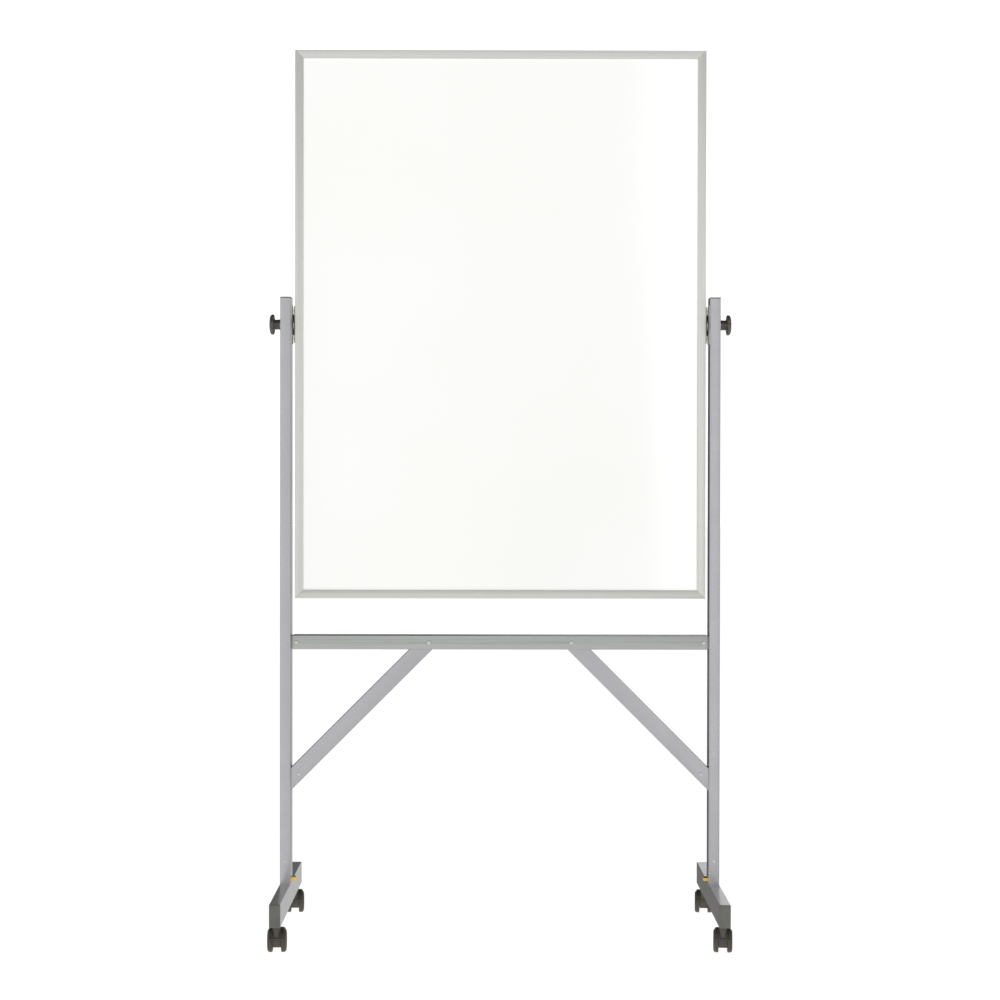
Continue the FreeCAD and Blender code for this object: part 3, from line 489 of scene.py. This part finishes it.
def carved(bm, cutter):
    """The first mesh with the second taken out of it."""
    objects = []
    for part in (bm, cutter):
        bmesh.ops.remove_doubles(part, verts=part.verts, dist=SAME_POINT)
        bmesh.ops.recalc_face_normals(part, faces=part.faces)
        mesh = bpy.data.meshes.new("carving")
        part.to_mesh(mesh)
        part.free()
        obj = bpy.data.objects.new("carving", mesh)
        bpy.context.scene.collection.objects.link(obj)
        objects.append(obj)
    body, tool = objects
    boolean = body.modifiers.new("cut", "BOOLEAN")
    boolean.operation = "DIFFERENCE"
    boolean.object = tool
    boolean.solver = "EXACT"
    boolean.use_self = True
    bpy.context.view_layer.update()
    depsgraph = bpy.context.evaluated_depsgraph_get()
    result = bpy.data.meshes.new_from_object(body.evaluated_get(depsgraph))
    for obj in objects:
        bpy.data.objects.remove(obj)
    return result


def stamp(bm, mesh, place):
    """Add a copy of a mesh at a place."""
    before = len(bm.verts)
    bm.from_mesh(mesh)
    bm.verts.ensure_lookup_table()
    bmesh.ops.transform(bm, matrix=place, verts=bm.verts[before:])


def make_piece(name, bm, body, look, replaced=(), smooth=34):
    """Turn a mesh under construction into a finished piece that rides on a body."""
    bmesh.ops.remove_doubles(bm, verts=bm.verts, dist=SAME_POINT)
    bmesh.ops.recalc_face_normals(bm, faces=bm.faces)
    if not bm.faces:
        raise ValueError(name + " has no faces")
    mesh = bpy.data.meshes.new(name)
    bm.to_mesh(mesh)
    bm.free()
    mesh.shade_smooth()
    mesh.set_sharp_from_angle(angle=math.radians(smooth))
    mesh.materials.append(MATERIALS[look])
    piece = bpy.data.objects.new(name, mesh)
    bpy.context.scene.collection.objects.link(piece)
    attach(piece, body)
    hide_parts(*replaced)
    return piece


def islands(node):
    """The lowest and highest corners of each separate solid in a CAD node."""
    bm = bmesh.new()
    bm.from_mesh(frame["nodes"][node].data)
    bmesh.ops.remove_doubles(bm, verts=bm.verts, dist=SAME_CAD_POINT)
    left = set(bm.verts)
    found = []
    while left:
        group, edge = set(), [left.pop()]
        while edge:
            vert = edge.pop()
            group.add(vert)
            for link in vert.link_edges:
                other = link.other_vert(vert)
                if other in left:
                    left.discard(other)
                    edge.append(other)
        places = [vert.co for vert in group]
        low = Vector(min(p[k] for p in places) for k in range(3))
        high = Vector(max(p[k] for p in places) for k in range(3))
        found.append((low, high))
    bm.free()
    return sorted(found, key=lambda box: tuple(round(value, 4) for value in box[0]))


# ---------------------------------------------------------------- fasteners

FRAME_SCREW_HEAD = 1.8 * MM
PLATE_SCREW_HEAD = 1.2 * MM
RIVET_HEAD = 1.0 * MM
# A shank's radius as a share of its head's.
SHANK_SHARE = 0.56
BOLT_ACROSS_FLATS = 10.0 * MM
BOLT_CORNER = 5.8 * MM
BOLT_SHANK = 4.0 * MM
BOLT_LENGTH = 14 * MM
BOLT_TURN = math.radians(17)


def cross_recess(depth, reach, width, level):
    """The tapered cross that a screwdriver drives, cut down from a level."""
    bm = bmesh.new()
    for turn in (0, 90):
        place = Matrix.Rotation(math.radians(turn), 4, "Z")
        rings = []
        for height, share in ((level + 0.5 * depth, 1.12), (level - depth, 0.42)):
            half_x, half_y = reach * share, width * (0.6 + 0.4 * share)
            corners = ((-half_x, -half_y), (half_x, -half_y), (half_x, half_y), (-half_x, half_y))
            rings.append([bm.verts.new(place @ Vector((x, y, height))) for x, y in corners])
        join_rings(bm, *rings)
        for ring in rings:
            bm.faces.new(ring)
    return bm


def shank(radius, length):
    return [(0.0, -length), (radius, -length), (radius, 0.0)]


def pan_head(radius, height, length):
    """A domed screw with a cross recess, its bearing face at Z = 0."""
    bm = bmesh.new()
    profile = shank(SHANK_SHARE * radius, length) + [(radius, 0.0)]
    for k in range(1, 8):
        rise = math.radians(12 * k)
        profile.append((radius * math.cos(rise) ** 0.55, height * math.sin(rise)))
    profile.append((0.0, height))
    lathe(bm, profile, Matrix.Identity(4), 32)
    return carved(bm, cross_recess(0.22 * height, 0.36 * radius, 0.08 * radius, height))


def rivet_head(radius, height, length):
    """A domed rivet with the dimple that its drawn mandrel leaves."""
    bm = bmesh.new()
    profile = shank(SHANK_SHARE * radius, length) + [(radius, 0.0)]
    for k in range(1, 5):
        rise = math.radians(15 * k)
        profile.append((radius * math.cos(rise), height * math.sin(rise)))
    profile += [(0.36 * radius, 0.9 * height), (0.30 * radius, 0.5 * height), (0.0, 0.45 * height)]
    lathe(bm, profile, Matrix.Identity(4), 28)
    bmesh.ops.recalc_face_normals(bm, faces=bm.faces)
    mesh = bpy.data.meshes.new("rivet")
    bm.to_mesh(mesh)
    bm.free()
    return mesh


def domed_fasteners(node, body, make_head, head, axis, outward):
    """Replace a node's fasteners; their heads look along one axis, the way that outward says.

    Each is turned by an angle of its own, which follows from its place.
    """
    bm = bmesh.new()
    for low, high in islands(node):
        size = high - low
        middle = (low + high) / 2
        radius = max(size[k] for k in range(3) if k != axis) / 2
        facing = Vector([0.0, 0.0, 0.0])
        facing[axis] = outward(middle)
        seat = middle + facing * (size[axis] / 2 - head)
        own_turn = 17 * middle.x + 29 * middle.z
        spin = Matrix.Rotation(own_turn, 4, "Z")
        stamp(bm, make_head(radius, head, size[axis] - head), towards(facing, seat) @ spin)
    make_piece(node + "_heads", bm, body, "screw_zinc", [node], 38)


def flange_bolts():
    """The yellow flanged hexagon bolts on the inner faces of the uprights."""
    bm = bmesh.new()

    def six_sided(angle, radius, height):
        from_flat = (angle + BOLT_TURN) % (math.pi / 3) - math.pi / 6
        return min(radius, BOLT_ACROSS_FLATS / 2 / math.cos(from_flat))

    for low, high in islands("foot_bolts"):
        middle = (low + high) / 2
        sign = math.copysign(1.0, middle.x)
        top = UPRIGHT_FACE - min(abs(low.x), abs(high.x))
        radius = (high.z - low.z) / 2
        place = towards((-sign, 0.0, 0.0), (sign * UPRIGHT_FACE, middle.y, middle.z))
        flange = [(0.0, 0.0), (radius, 0.0), (radius, 0.5 * MM), (0.86 * radius, 1.3 * MM), (0.0, 1.5 * MM)]
        lathe(bm, flange, place, 40)
        head = [(0.0, 1.0 * MM), (BOLT_CORNER, 1.0 * MM), (BOLT_CORNER, top - 1.2 * MM)]
        head += [(5.3 * MM, top - 0.4 * MM), (4.7 * MM, top), (3.6 * MM, top)]
        head += [(3.3 * MM, top - 0.35 * MM), (0.0, top - 0.35 * MM)]
        lathe(bm, head, place, 72, six_sided)
        lathe(bm, shank(BOLT_SHANK, BOLT_LENGTH) + [(0.0, 0.0)], place, 24)
    make_piece("foot_bolts_hexagon", bm, "stand", "yellow_zinc", ["foot_bolts"], 30)


def make_fasteners():
    def forwards(middle):
        return -1.0

    def away_from_middle(middle):
        return math.copysign(1.0, middle.x)

    def towards_middle(middle):
        return -math.copysign(1.0, middle.x)

    domed_fasteners("frame_screws", "stand", pan_head, FRAME_SCREW_HEAD, 1, forwards)
    domed_fasteners("pivot_plate_screws", "board", pan_head, PLATE_SCREW_HEAD, 0, away_from_middle)
    domed_fasteners("upright_plate_rivets", "stand", rivet_head, RIVET_HEAD, 0, towards_middle)
    flange_bolts()


# ---------------------------------------------------------------- pivot and knobs

KNOB_HUB_RADIUS = 11.35 * MM
KNOB_HEAD = 10.6 * MM
KNOB_FLUTES = 8
# The visible disc's thickness and bore; the thickness is a share of its CAD node's.
DISC_SHARE = 0.60
DISC_BORE = 4.1 * MM
# The pressed plates: thickness, how far the middle bows away from its seat, and corner radius.
BOARD_PLATE = (2.0 * MM, 0.0, 7.0 * MM)
UPRIGHT_PLATE = (1.6 * MM, 0.9 * MM, 3.0 * MM)
PLATE_BORE = 7.3 * MM
UPRIGHT_FACE = min(abs(corner.x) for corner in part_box("upright_right"))


def gap_frame(node, sign):
    """The length and radius of a node on the pivot axis, and the matrix that lays it outwards."""
    low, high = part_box(node)
    middle = (low + high) / 2
    start = (sign * min(abs(low.x), abs(high.x)), middle.y, middle.z)
    return high.x - low.x, (high.z - low.z) / 2, towards((sign, 0.0, 0.0), start)


def clamp_knob(side, sign):
    """A moulded knob: a waisted hub under a crowned, fluted head whose rim curls back."""
    length, radius, place = gap_frame("knob_" + side, sign)
    hub = KNOB_HUB_RADIUS
    neck = length - KNOB_HEAD

    def fluted(angle, at, height):
        outer = max(0.0, (at - 0.62 * radius) / (0.38 * radius))
        wave = 0.5 - 0.5 * math.cos(KNOB_FLUTES * angle)
        return at - 1.3 * MM * outer * wave ** 2.2

    profile = [(0.0, 0.2 * MM), (0.80 * hub, 0.2 * MM), (hub - 0.5 * MM, 0.0), (hub, 0.6 * MM)]
    profile += [(hub - 0.25 * MM, 0.35 * neck), (hub - 0.35 * MM, 0.7 * neck), (hub, neck - 0.6 * MM)]
    profile += [(hub + 0.9 * MM, neck + 1.4 * MM), (0.66 * radius, neck + 2.2 * MM)]
    profile += [(radius - 4.4 * MM, neck + 1.3 * MM), (radius - 3.4 * MM, neck + 0.3 * MM)]
    profile += arc((radius - 2.6 * MM, neck + 2.6 * MM), 2.6 * MM, -90, 0, 6)
    profile += arc((radius - 4.6 * MM, length - 6.6 * MM), 4.6 * MM, 8, 62, 6)
    for share in (0.76, 0.64, 0.5, 0.36):
        profile.append((share * radius, length - 2.6 * MM * share ** 2.6))
    profile += [(5.4 * MM, length - 0.25 * MM), (5.0 * MM, length - 0.9 * MM), (0.0, length - 0.8 * MM)]
    bm = bmesh.new()
    lathe(bm, profile, place @ Matrix.Rotation(math.radians(9.0), 4, "Z"), 128, fluted)
    make_piece(f"knob_{side}_moulding", bm, "knob_" + side, "knob", ["knob_" + side], 40)


def friction_disc(side, sign):
    """The black clutch disc, crowned towards the board and finely ribbed round its rim."""
    node = "friction_disc_" + side
    room, radius, place = gap_frame(node, sign)
    length = DISC_SHARE * room
    shares = ((0.60, 0.0), (0.66, 0.25), (0.90, 0.34), (0.985, 0.45), (1.0, 0.60), (0.985, 0.78),
              (0.93, 0.92), (0.84, 1.0))
    profile = [(DISC_BORE, 0.0)] + [(out * radius, along * length) for out, along in shares]
    profile.append((DISC_BORE, length))

    def ribbed(angle, at, height):
        edge = max(0.0, (at - 0.9 * radius) / (0.1 * radius))
        return at - 0.35 * MM * edge * (0.5 + 0.5 * math.cos(36 * angle))

    bm = bmesh.new()
    lathe(bm, profile, place, 216, ribbed, closed=True)
    make_piece(node + "_clutch", bm, "board", "friction", [node], 30)


def pressed_plate(bm, node_box, sign, outward, thickness, bulge, corner):
    """A pressed strip on the face that carries it, its middle bowed away from that face.

    outward is 1 where the strip grows away from the board's middle and -1 where it grows towards it.
    """
    low, high = node_box
    nearest = min(abs(low.x), abs(high.x))
    farthest = max(abs(low.x), abs(high.x))
    face = nearest if outward > 0 else farthest
    half_y = (high.y - low.y) / 2
    half_z = (high.z - low.z) / 2
    middle = (low + high) / 2
    rows, columns = 60, 20

    def half_width(z):
        into_corner = max(0.0, abs(z) - (half_z - corner)) / corner
        return half_y - corner * (1.0 - math.sqrt(max(0.0, 1.0 - into_corner ** 2)))

    grid = []
    for i in range(rows + 1):
        z = half_z * math.sin(math.pi / 2 * (2 * i / rows - 1))
        lift = bulge * (1.0 - (z / half_z) ** 2)
        x = sign * (face + outward * lift)
        ys = [half_width(z) * (2 * j / columns - 1) for j in range(columns + 1)]
        grid.append([bm.verts.new((x, middle.y + y, middle.z + z)) for y in ys])
    strip = []
    for low_row, high_row in zip(grid, grid[1:]):
        for j in range(columns):
            corners = (low_row[j], low_row[j + 1], high_row[j + 1], high_row[j])
            away = sum((vert.co for vert in corners), Vector()) / 4 - middle
            if math.hypot(away.y, away.z) > PLATE_BORE:
                strip.append(bm.faces.new(corners))
    unused = [vert for row in grid for vert in row if not vert.link_faces]
    bmesh.ops.delete(bm, geom=unused, context="VERTS")
    grown = bmesh.ops.extrude_face_region(bm, geom=strip, use_keep_orig=True)["geom"]
    back = [item for item in grown if isinstance(item, bmesh.types.BMVert)]
    bmesh.ops.translate(bm, verts=back, vec=(sign * outward * thickness, 0.0, 0.0))


def make_pivots():
    lining = bmesh.new()
    for side, sign in SIDES.items():
        clamp_knob(side, sign)
        friction_disc(side, sign)
        node = "pivot_plate_" + side
        bm = bmesh.new()
        pressed_plate(bm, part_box(node), sign, 1, *BOARD_PLATE)
        make_piece(node + "_pressing", bm, "board", "board_plate", [node], 40)
        plate = next(box for box in islands("upright_plates") if sign * box[0].x > 0)
        pressed_plate(lining, plate, sign, -1, *UPRIGHT_PLATE)
    make_piece("upright_plates_pressing", lining, "stand", "upright_plate",
               ["upright_plates"], 40)


# ---------------------------------------------------------------- end caps

CAP_LID = 3.0 * MM
CAP_PLUG_INSET = 1.7 * MM
CAP_PLUG_CORNER = 1.0 * MM
UPRIGHT_CAP_CROWN = 0.2 * MM
FOOT_CAP_CROWN = 0.3 * MM


def make_caps():
    """Moulded caps: one on each upright and one in each end of each foot, slightly crowned."""
    bm = bmesh.new()
    for low, high in islands("upright_caps"):
        half = (high - low) / 2
        seat = ((low.x + high.x) / 2, (low.y + high.y) / 2, high.z - CAP_LID)
        place = towards((0.0, 0.0, 1.0), seat)
        soft_slab(bm, half.x, half.y, corner=1.4 * MM, thickness=CAP_LID - UPRIGHT_CAP_CROWN,
                  edge=0.6 * MM, place=place, crown=UPRIGHT_CAP_CROWN)
        plug = rounded_rectangle(half.x - CAP_PLUG_INSET, half.y - CAP_PLUG_INSET, CAP_PLUG_CORNER)
        prism(bm, plug, low.z - high.z + CAP_LID, 0.0, place)
    make_piece("upright_caps_moulded", bm, "stand", "upright_cap", ["upright_caps"], 35)

    bm = bmesh.new()
    for low, high in islands("foot_end_caps"):
        half = (high - low) / 2
        sign = math.copysign(1.0, low.y + high.y)
        outer = max(abs(low.y), abs(high.y))
        inner = min(abs(low.y), abs(high.y))
        seat = ((low.x + high.x) / 2, sign * (outer - CAP_LID), (low.z + high.z) / 2)
        place = Matrix.Translation(seat) @ Matrix.Rotation(-sign * math.pi / 2, 4, "X")
        soft_slab(bm, half.x, half.z, corner=1.6 * MM, thickness=CAP_LID - FOOT_CAP_CROWN,
                  edge=0.9 * MM, place=place, crown=FOOT_CAP_CROWN)
        plug = rounded_rectangle(half.x - CAP_PLUG_INSET, half.z - CAP_PLUG_INSET, CAP_PLUG_CORNER)
        prism(bm, plug, inner - outer + CAP_LID, 0.0, place)
    make_piece("foot_end_caps_moulded", bm, "stand", "end_cap", ["foot_end_caps"], 35)


# ---------------------------------------------------------------- casters

WHEEL_RADIUS = 25.0 * MM
WHEEL_INNER = 9.4 * MM
WHEEL_WIDTH = 10.8 * MM
WHEEL_WALL = 2.4 * MM
WHEEL_ROUND = 5.5 * MM
AXLE_BORE = 3.05 * MM
POCKET_INNER = 9.2 * MM
POCKET_OUTER = 17.0 * MM
POCKET_DEPTH = 0.8 * MM
# A pocket reaches this many degrees to each side, the last few of them as its slope.
POCKET_HALF = 24.0
POCKET_SLOPE = 4.0
TRAIL = 15.0 * MM
HOOD_RADIUS = 28.5 * MM
HOOD_INSIDE = 26.3 * MM
HOOD_FLAT = 11.5 * MM
HOOD_ROUND = 9.0 * MM
HOOD_EDGE = 17.0 * MM
# Where the cover ends, in degrees about the axle, up from the rear.
HOOD_FRONT = 167.0
HOOD_REAR = -11.0
# The rolled lip: its height, and in degrees its middle's place from the front edge and its width.
LIP_RISE = 1.5 * MM
LIP_INSET = 3.0
LIP_SPREAD = 2.8
# The hollows beside the neck: depth, middle and width across, and both along in degrees.
HOLLOW_DEPTH = 1.7 * MM
HOLLOW_X = 10.0 * MM
HOLLOW_SPREAD = 3.4 * MM
HOLLOW_ANGLE = 132.0
HOLLOW_SWEEP = 22.0
WEB_HALF = 9.0 * MM
WEB_RADIUS = 21.0 * MM
WEB_BOTTOM = 13.0 * MM
STEM_BORE = 4.05 * MM
NECK_HALF = 5.5 * MM
NECK_REACH = 11.2 * MM
NECK_SAGITTA = 2.0 * MM
NECK_BOTTOM = 35.0 * MM
BARREL_RADIUS = 8.0 * MM
BARREL_TIP = 7.4 * MM
BARREL_CHAMFER = 0.6 * MM
BARREL_TOP = 60.6 * MM
BARREL_BOTTOM = 44.0 * MM


def joint_named(name):
    return next(joint for joint in frame["joints"] if joint["name"] == name)


def caster_place(name):
    """The matrix that carries a caster drawn about its stem, its axle along X, to its place at rest."""
    stem = joint_named(f"caster_{name}_swivel")["pos_m"]
    axle = joint_named(f"wheel_{name}_a_spin")["axis"]
    yaw = math.atan2(axis_sign(axle) * axle[1], axis_sign(axle) * axle[0])
    return Matrix.Translation((stem[0], stem[1], 0.0)) @ Matrix.Rotation(yaw, 4, "Z")


def axis_sign(axis):
    return math.copysign(1.0, axis[0])


def hood_radius_at(x, degrees):
    """The cover's outer radius: flat across the middle, rounded over each wheel, hollowed by the neck."""
    beyond = max(0.0, abs(x) - HOOD_FLAT)
    radius = HOOD_RADIUS - HOOD_ROUND + math.sqrt(HOOD_ROUND ** 2 - beyond ** 2)
    across = math.exp(-((abs(x) - HOLLOW_X) / HOLLOW_SPREAD) ** 4)
    along = math.exp(-((degrees - HOLLOW_ANGLE) / HOLLOW_SWEEP) ** 4)
    lip = LIP_RISE * math.exp(-((HOOD_FRONT - LIP_INSET - degrees) / LIP_SPREAD) ** 2)
    return radius - HOLLOW_DEPTH * across * along + lip


def about_axle(x, radius, degrees):
    """A point by its place along the axle, its distance from it and its angle up from the rear."""
    angle = math.radians(degrees)
    return Vector((x, TRAIL + radius * math.cos(angle), WHEEL_RADIUS + radius * math.sin(angle)))


def add_cover(bm, place):
    """The arched cover over both wheels, with a rolled lip across its front edge."""
    columns = [HOOD_EDGE * math.sin(math.pi / 2 * (k / 16 - 1)) for k in range(33)]
    rings = []
    steps = 60
    for i in range(steps + 1):
        degrees = HOOD_REAR + (HOOD_FRONT - HOOD_REAR) * i / steps
        outer = [about_axle(x, hood_radius_at(x, degrees), degrees) for x in columns]
        inner = [about_axle(x, HOOD_INSIDE, degrees) for x in reversed(columns)]
        rings.append([bm.verts.new(place @ point) for point in outer + inner])
    for low, high in zip(rings, rings[1:]):
        join_rings(bm, low, high)
    for ring in (rings[0], rings[-1]):
        bm.faces.new(ring)


def add_web(bm, place):
    """The solid middle between the wheels, flat underneath, with softened edges."""
    drop = (WHEEL_RADIUS - WEB_BOTTOM) / WEB_RADIUS
    flat = math.degrees(math.asin(drop))
    outline = list(arc((TRAIL, WHEEL_RADIUS), WEB_RADIUS, -flat, 180 + flat, 40))
    sideways = place @ Matrix(((0, 0, 1, 0), (1, 0, 0, 0), (0, 1, 0, 0), (0, 0, 0, 1)))
    before = len(bm.verts)
    prism(bm, outline, -WEB_HALF, WEB_HALF, sideways)
    bm.verts.ensure_lookup_table()
    edges = {edge for vert in bm.verts[before:] for edge in vert.link_edges}
    bmesh.ops.bevel(bm, geom=[edge for edge in edges if edge.calc_face_angle(0.0) > 1.0],
                    offset=0.7 * MM, segments=2, affect="EDGES")


def add_neck(bm, place):
    """The boss in front of the stem, a rounded column that runs down onto the cover."""
    bow = (NECK_HALF ** 2 + NECK_SAGITTA ** 2) / (2 * NECK_SAGITTA)
    half_angle = math.degrees(math.asin(NECK_HALF / bow))
    outline = list(arc((0.0, bow - NECK_REACH), bow, -90 - half_angle, -90 + half_angle, 16))
    outline += [(NECK_HALF, 0.0), (-NECK_HALF, 0.0)]
    inset = [(0.93 * x, 0.96 * y) for x, y in outline]
    rings = []
    levels = ((outline, NECK_BOTTOM), (outline, BARREL_TOP - BARREL_CHAMFER), (inset, BARREL_TOP))
    for ring, height in levels:
        rings.append([bm.verts.new(place @ Vector((x, y, height))) for x, y in ring])
    for low, high in zip(rings, rings[1:]):
        join_rings(bm, low, high)
    for ring in (rings[0], rings[-1]):
        bm.faces.new(ring)


def make_hood(name, place):
    bm = bmesh.new()
    add_cover(bm, place)
    add_web(bm, place)
    add_neck(bm, place)
    barrel = [(STEM_BORE, BARREL_TOP), (BARREL_TIP, BARREL_TOP)]
    barrel += [(BARREL_RADIUS, BARREL_TOP - BARREL_CHAMFER)]
    barrel += [(BARREL_RADIUS, BARREL_BOTTOM), (STEM_BORE, BARREL_BOTTOM)]
    lathe(bm, barrel, place, 40, closed=True)
    node = "caster_hood_" + name
    make_piece(node + "_moulding", bm, "caster_" + name, "caster", [node], 32)


def make_wheel(name, letter, sign, place):
    """A twin-caster wheel: a crowned tread, a raised rim, a dished face with six pockets and a hub boss."""
    width = WHEEL_WIDTH
    bore_end = width - WHEEL_WALL
    profile = [(0.0, bore_end), (AXLE_BORE, bore_end), (AXLE_BORE, 0.0), (7.5 * MM, 0.0)]
    profile += [(8.0 * MM, 0.8 * MM), (18.5 * MM, 0.8 * MM), (19.5 * MM, 0.0)]
    profile += arc((WHEEL_RADIUS - 2.0 * MM, 2.0 * MM), 2.0 * MM, -90, 0, 5)
    profile += arc((WHEEL_RADIUS - WHEEL_ROUND, width - WHEEL_ROUND), WHEEL_ROUND, 4, 86, 9)
    profile += [(19.4 * MM, width), (18.8 * MM, width - 0.9 * MM), (18.2 * MM, width - 1.0 * MM)]
    profile += [(radius * MM, width - 1.0 * MM) for radius in (17.2, 16.4, 14.5, 12.5, 10.6, 9.6, 8.8)]
    profile += [(8.2 * MM, width - 0.5 * MM), (7.4 * MM, width - 0.3 * MM), (3.0 * MM, width - 0.2 * MM)]
    profile += [(2.4 * MM, width - 0.7 * MM), (0.0, width - 0.7 * MM)]

    def pocketed(angle, radius, height):
        """How far a point of the face sinks into one of its six pockets."""
        if not POCKET_INNER < radius < POCKET_OUTER or height < width / 2:
            return 0.0
        across = abs((math.degrees(angle) + 30) % 60 - 30)
        return POCKET_DEPTH * min(1.0, max(0.0, (POCKET_HALF - across) / POCKET_SLOPE))

    bm = bmesh.new()
    stand = place @ Matrix.Translation((sign * WHEEL_INNER, TRAIL, WHEEL_RADIUS))
    turned = stand @ towards((sign, 0.0, 0.0))
    lathe(bm, profile, turned, 120, sink=pocketed)
    node = f"caster_wheel_{name}_{letter}"
    make_piece(node + "_moulding", bm, f"wheel_{name}_{letter}", "wheel", [node], 30)


def make_casters():
    for end in ENDS:
        for side in SIDES:
            name = f"{end}_{side}"
            place = caster_place(name)
            make_hood(name, place)
            make_wheel(name, "a", -1, place)
            make_wheel(name, "b", 1, place)


# ---------------------------------------------------------------- studio

# The camera stands well back and a little above the rail, nearly level.
CAMERA_PLACE = Vector((-0.0168, -4.7433, 1.0182))
CAMERA_TURN = math.radians(-0.197)
CAMERA_DIP = math.radians(0.614)
CAMERA_ROLL = math.radians(0.093)
CAMERA_LENS = 76.53
CAMERA_SENSOR = 36.0
SURROUND_RADIUS = 40.0
FLOOR_HALF = 39.0


def make_camera():
    data = bpy.data.cameras.new("camera")
    data.lens = CAMERA_LENS
    data.sensor_width = CAMERA_SENSOR
    camera = bpy.data.objects.new("camera", data)
    turn = Matrix.Rotation(CAMERA_TURN, 4, "Z")
    dip = Matrix.Rotation(math.pi / 2 - CAMERA_DIP, 4, "X")
    roll = Matrix.Rotation(CAMERA_ROLL, 4, "Z")
    camera.matrix_world = Matrix.Translation(CAMERA_PLACE) @ turn @ dip @ roll
    bpy.context.scene.collection.objects.link(camera)
    bpy.context.scene.camera = camera


def make_surroundings():
    """A bright room with a dim ceiling, and behind the object a dark side and a light side.

    Each spread changes the light over a range of one component of the direction looked in.
    """
    world = bpy.data.worlds.new("studio")
    world.use_nodes = True
    bpy.context.scene.world = world
    room = Shader(world.node_tree)
    way = room.node("ShaderNodeTexCoord").outputs["Generated"]
    axes = room.node("ShaderNodeSeparateXYZ", Vector=way).outputs
    dark_side, light_side, front_level = 0.10, 0.62, 1.03
    behind = room.spread(axes["Y"], 0.78, 0.95)
    low_back = room.spread(axes["X"], -0.05, 0.05, dark_side, light_side)
    rising = room.spread(axes["Z"], 0.02, 0.13, 1.0, 1.55)
    back_ceiling = room.spread(axes["Z"], 0.34, 0.60, 1.0, 0.03)
    back = room.product(low_back, rising, back_ceiling)
    left_glow = room.spread(axes["X"], -0.06, 0.045, 0.75, 0.0)
    ahead = room.product(left_glow, room.spread(axes["Y"], -0.95, -0.80, 1.0, 0.0))
    ceiling = room.spread(axes["Z"], 0.32, 0.62, 1.0, 0.02)
    ground = room.spread(axes["Z"], -0.40, -0.08, 1.12, 1.0)
    front = room.product(room.maths("ADD", front_level, ahead), ceiling, ground)
    light = room.maths("ADD", room.product(behind, back),
                       room.product(room.maths("SUBTRACT", 1.0, behind), front))
    world.node_tree.nodes["Background"].inputs["Color"].default_value = (1.0, 1.0, 1.0, 1.0)
    room.feed(world.node_tree.nodes["Background"].inputs["Strength"], light)


def make_backdrop():
    """A plain white surround and a pale floor, seen by the camera but lighting nothing."""
    lowest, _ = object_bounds()
    bm = bmesh.new()
    bmesh.ops.create_icosphere(bm, subdivisions=4, radius=SURROUND_RADIUS)
    surround = studio_object("surround", bm, glowing("surround", strength=1.2, albedo=0.0))
    bm = bmesh.new()
    bmesh.ops.create_grid(bm, x_segments=1, y_segments=1, size=FLOOR_HALF)
    floor = studio_object("floor", bm, glowing("floor", strength=0.93, albedo=0.45))
    floor.location.z = lowest.z
    for obj in (surround, floor):
        obj.visible_diffuse = False
        obj.visible_glossy = False
        obj.visible_transmission = False
        obj.visible_shadow = False


def glowing(name, strength, albedo):
    made = Material(name)
    made.surface.inputs["Base Color"].default_value = (albedo, albedo, albedo, 1.0)
    made.surface.inputs["Roughness"].default_value = 1.0
    made.surface.inputs["Specular IOR Level"].default_value = 0.0
    made.surface.inputs["Emission Color"].default_value = (1.0, 1.0, 1.0, 1.0)
    made.surface.inputs["Emission Strength"].default_value = strength
    return made.material


def studio_object(name, bm, material):
    mesh = bpy.data.meshes.new(name)
    bm.to_mesh(mesh)
    bm.free()
    mesh.materials.append(material)
    obj = bpy.data.objects.new(name, mesh)
    bpy.context.scene.collection.objects.link(obj)
    return obj


def soft_box(name, place, target, width, height, radiance, tilt=0.0):
    """A rectangular lamp that faces a target; its power follows from how bright its face is."""
    data = bpy.data.lights.new(name, "AREA")
    data.shape = "RECTANGLE"
    data.size = width
    data.size_y = height
    data.energy = radiance * math.pi * width * height
    lamp = bpy.data.objects.new(name, data)
    aim = (Vector(target) - Vector(place)).to_track_quat("-Z", "Y").to_matrix().to_4x4()
    lamp.matrix_world = Matrix.Translation(Vector(place)) @ aim @ Matrix.Rotation(tilt, 4, "Z")
    lamp.visible_camera = False
    bpy.context.scene.collection.objects.link(lamp)


def make_lights():
    soft_box("strip", (1.33, -8.0, 1.2), (1.33, 0.0, 1.2), width=0.74, height=5.0, radiance=1.7,
             tilt=math.radians(2.0))
    soft_box("key", (3.0, -3.4, 2.3), (0.0, 0.0, 1.0), width=1.6, height=2.0, radiance=1.5)


def main():
    dress_cad_nodes()
    make_fasteners()
    make_pivots()
    make_caps()
    make_casters()
    make_camera()
    make_surroundings()
    make_backdrop()
    make_lights()
    bpy.context.scene.view_settings.view_transform = "Standard"


main()
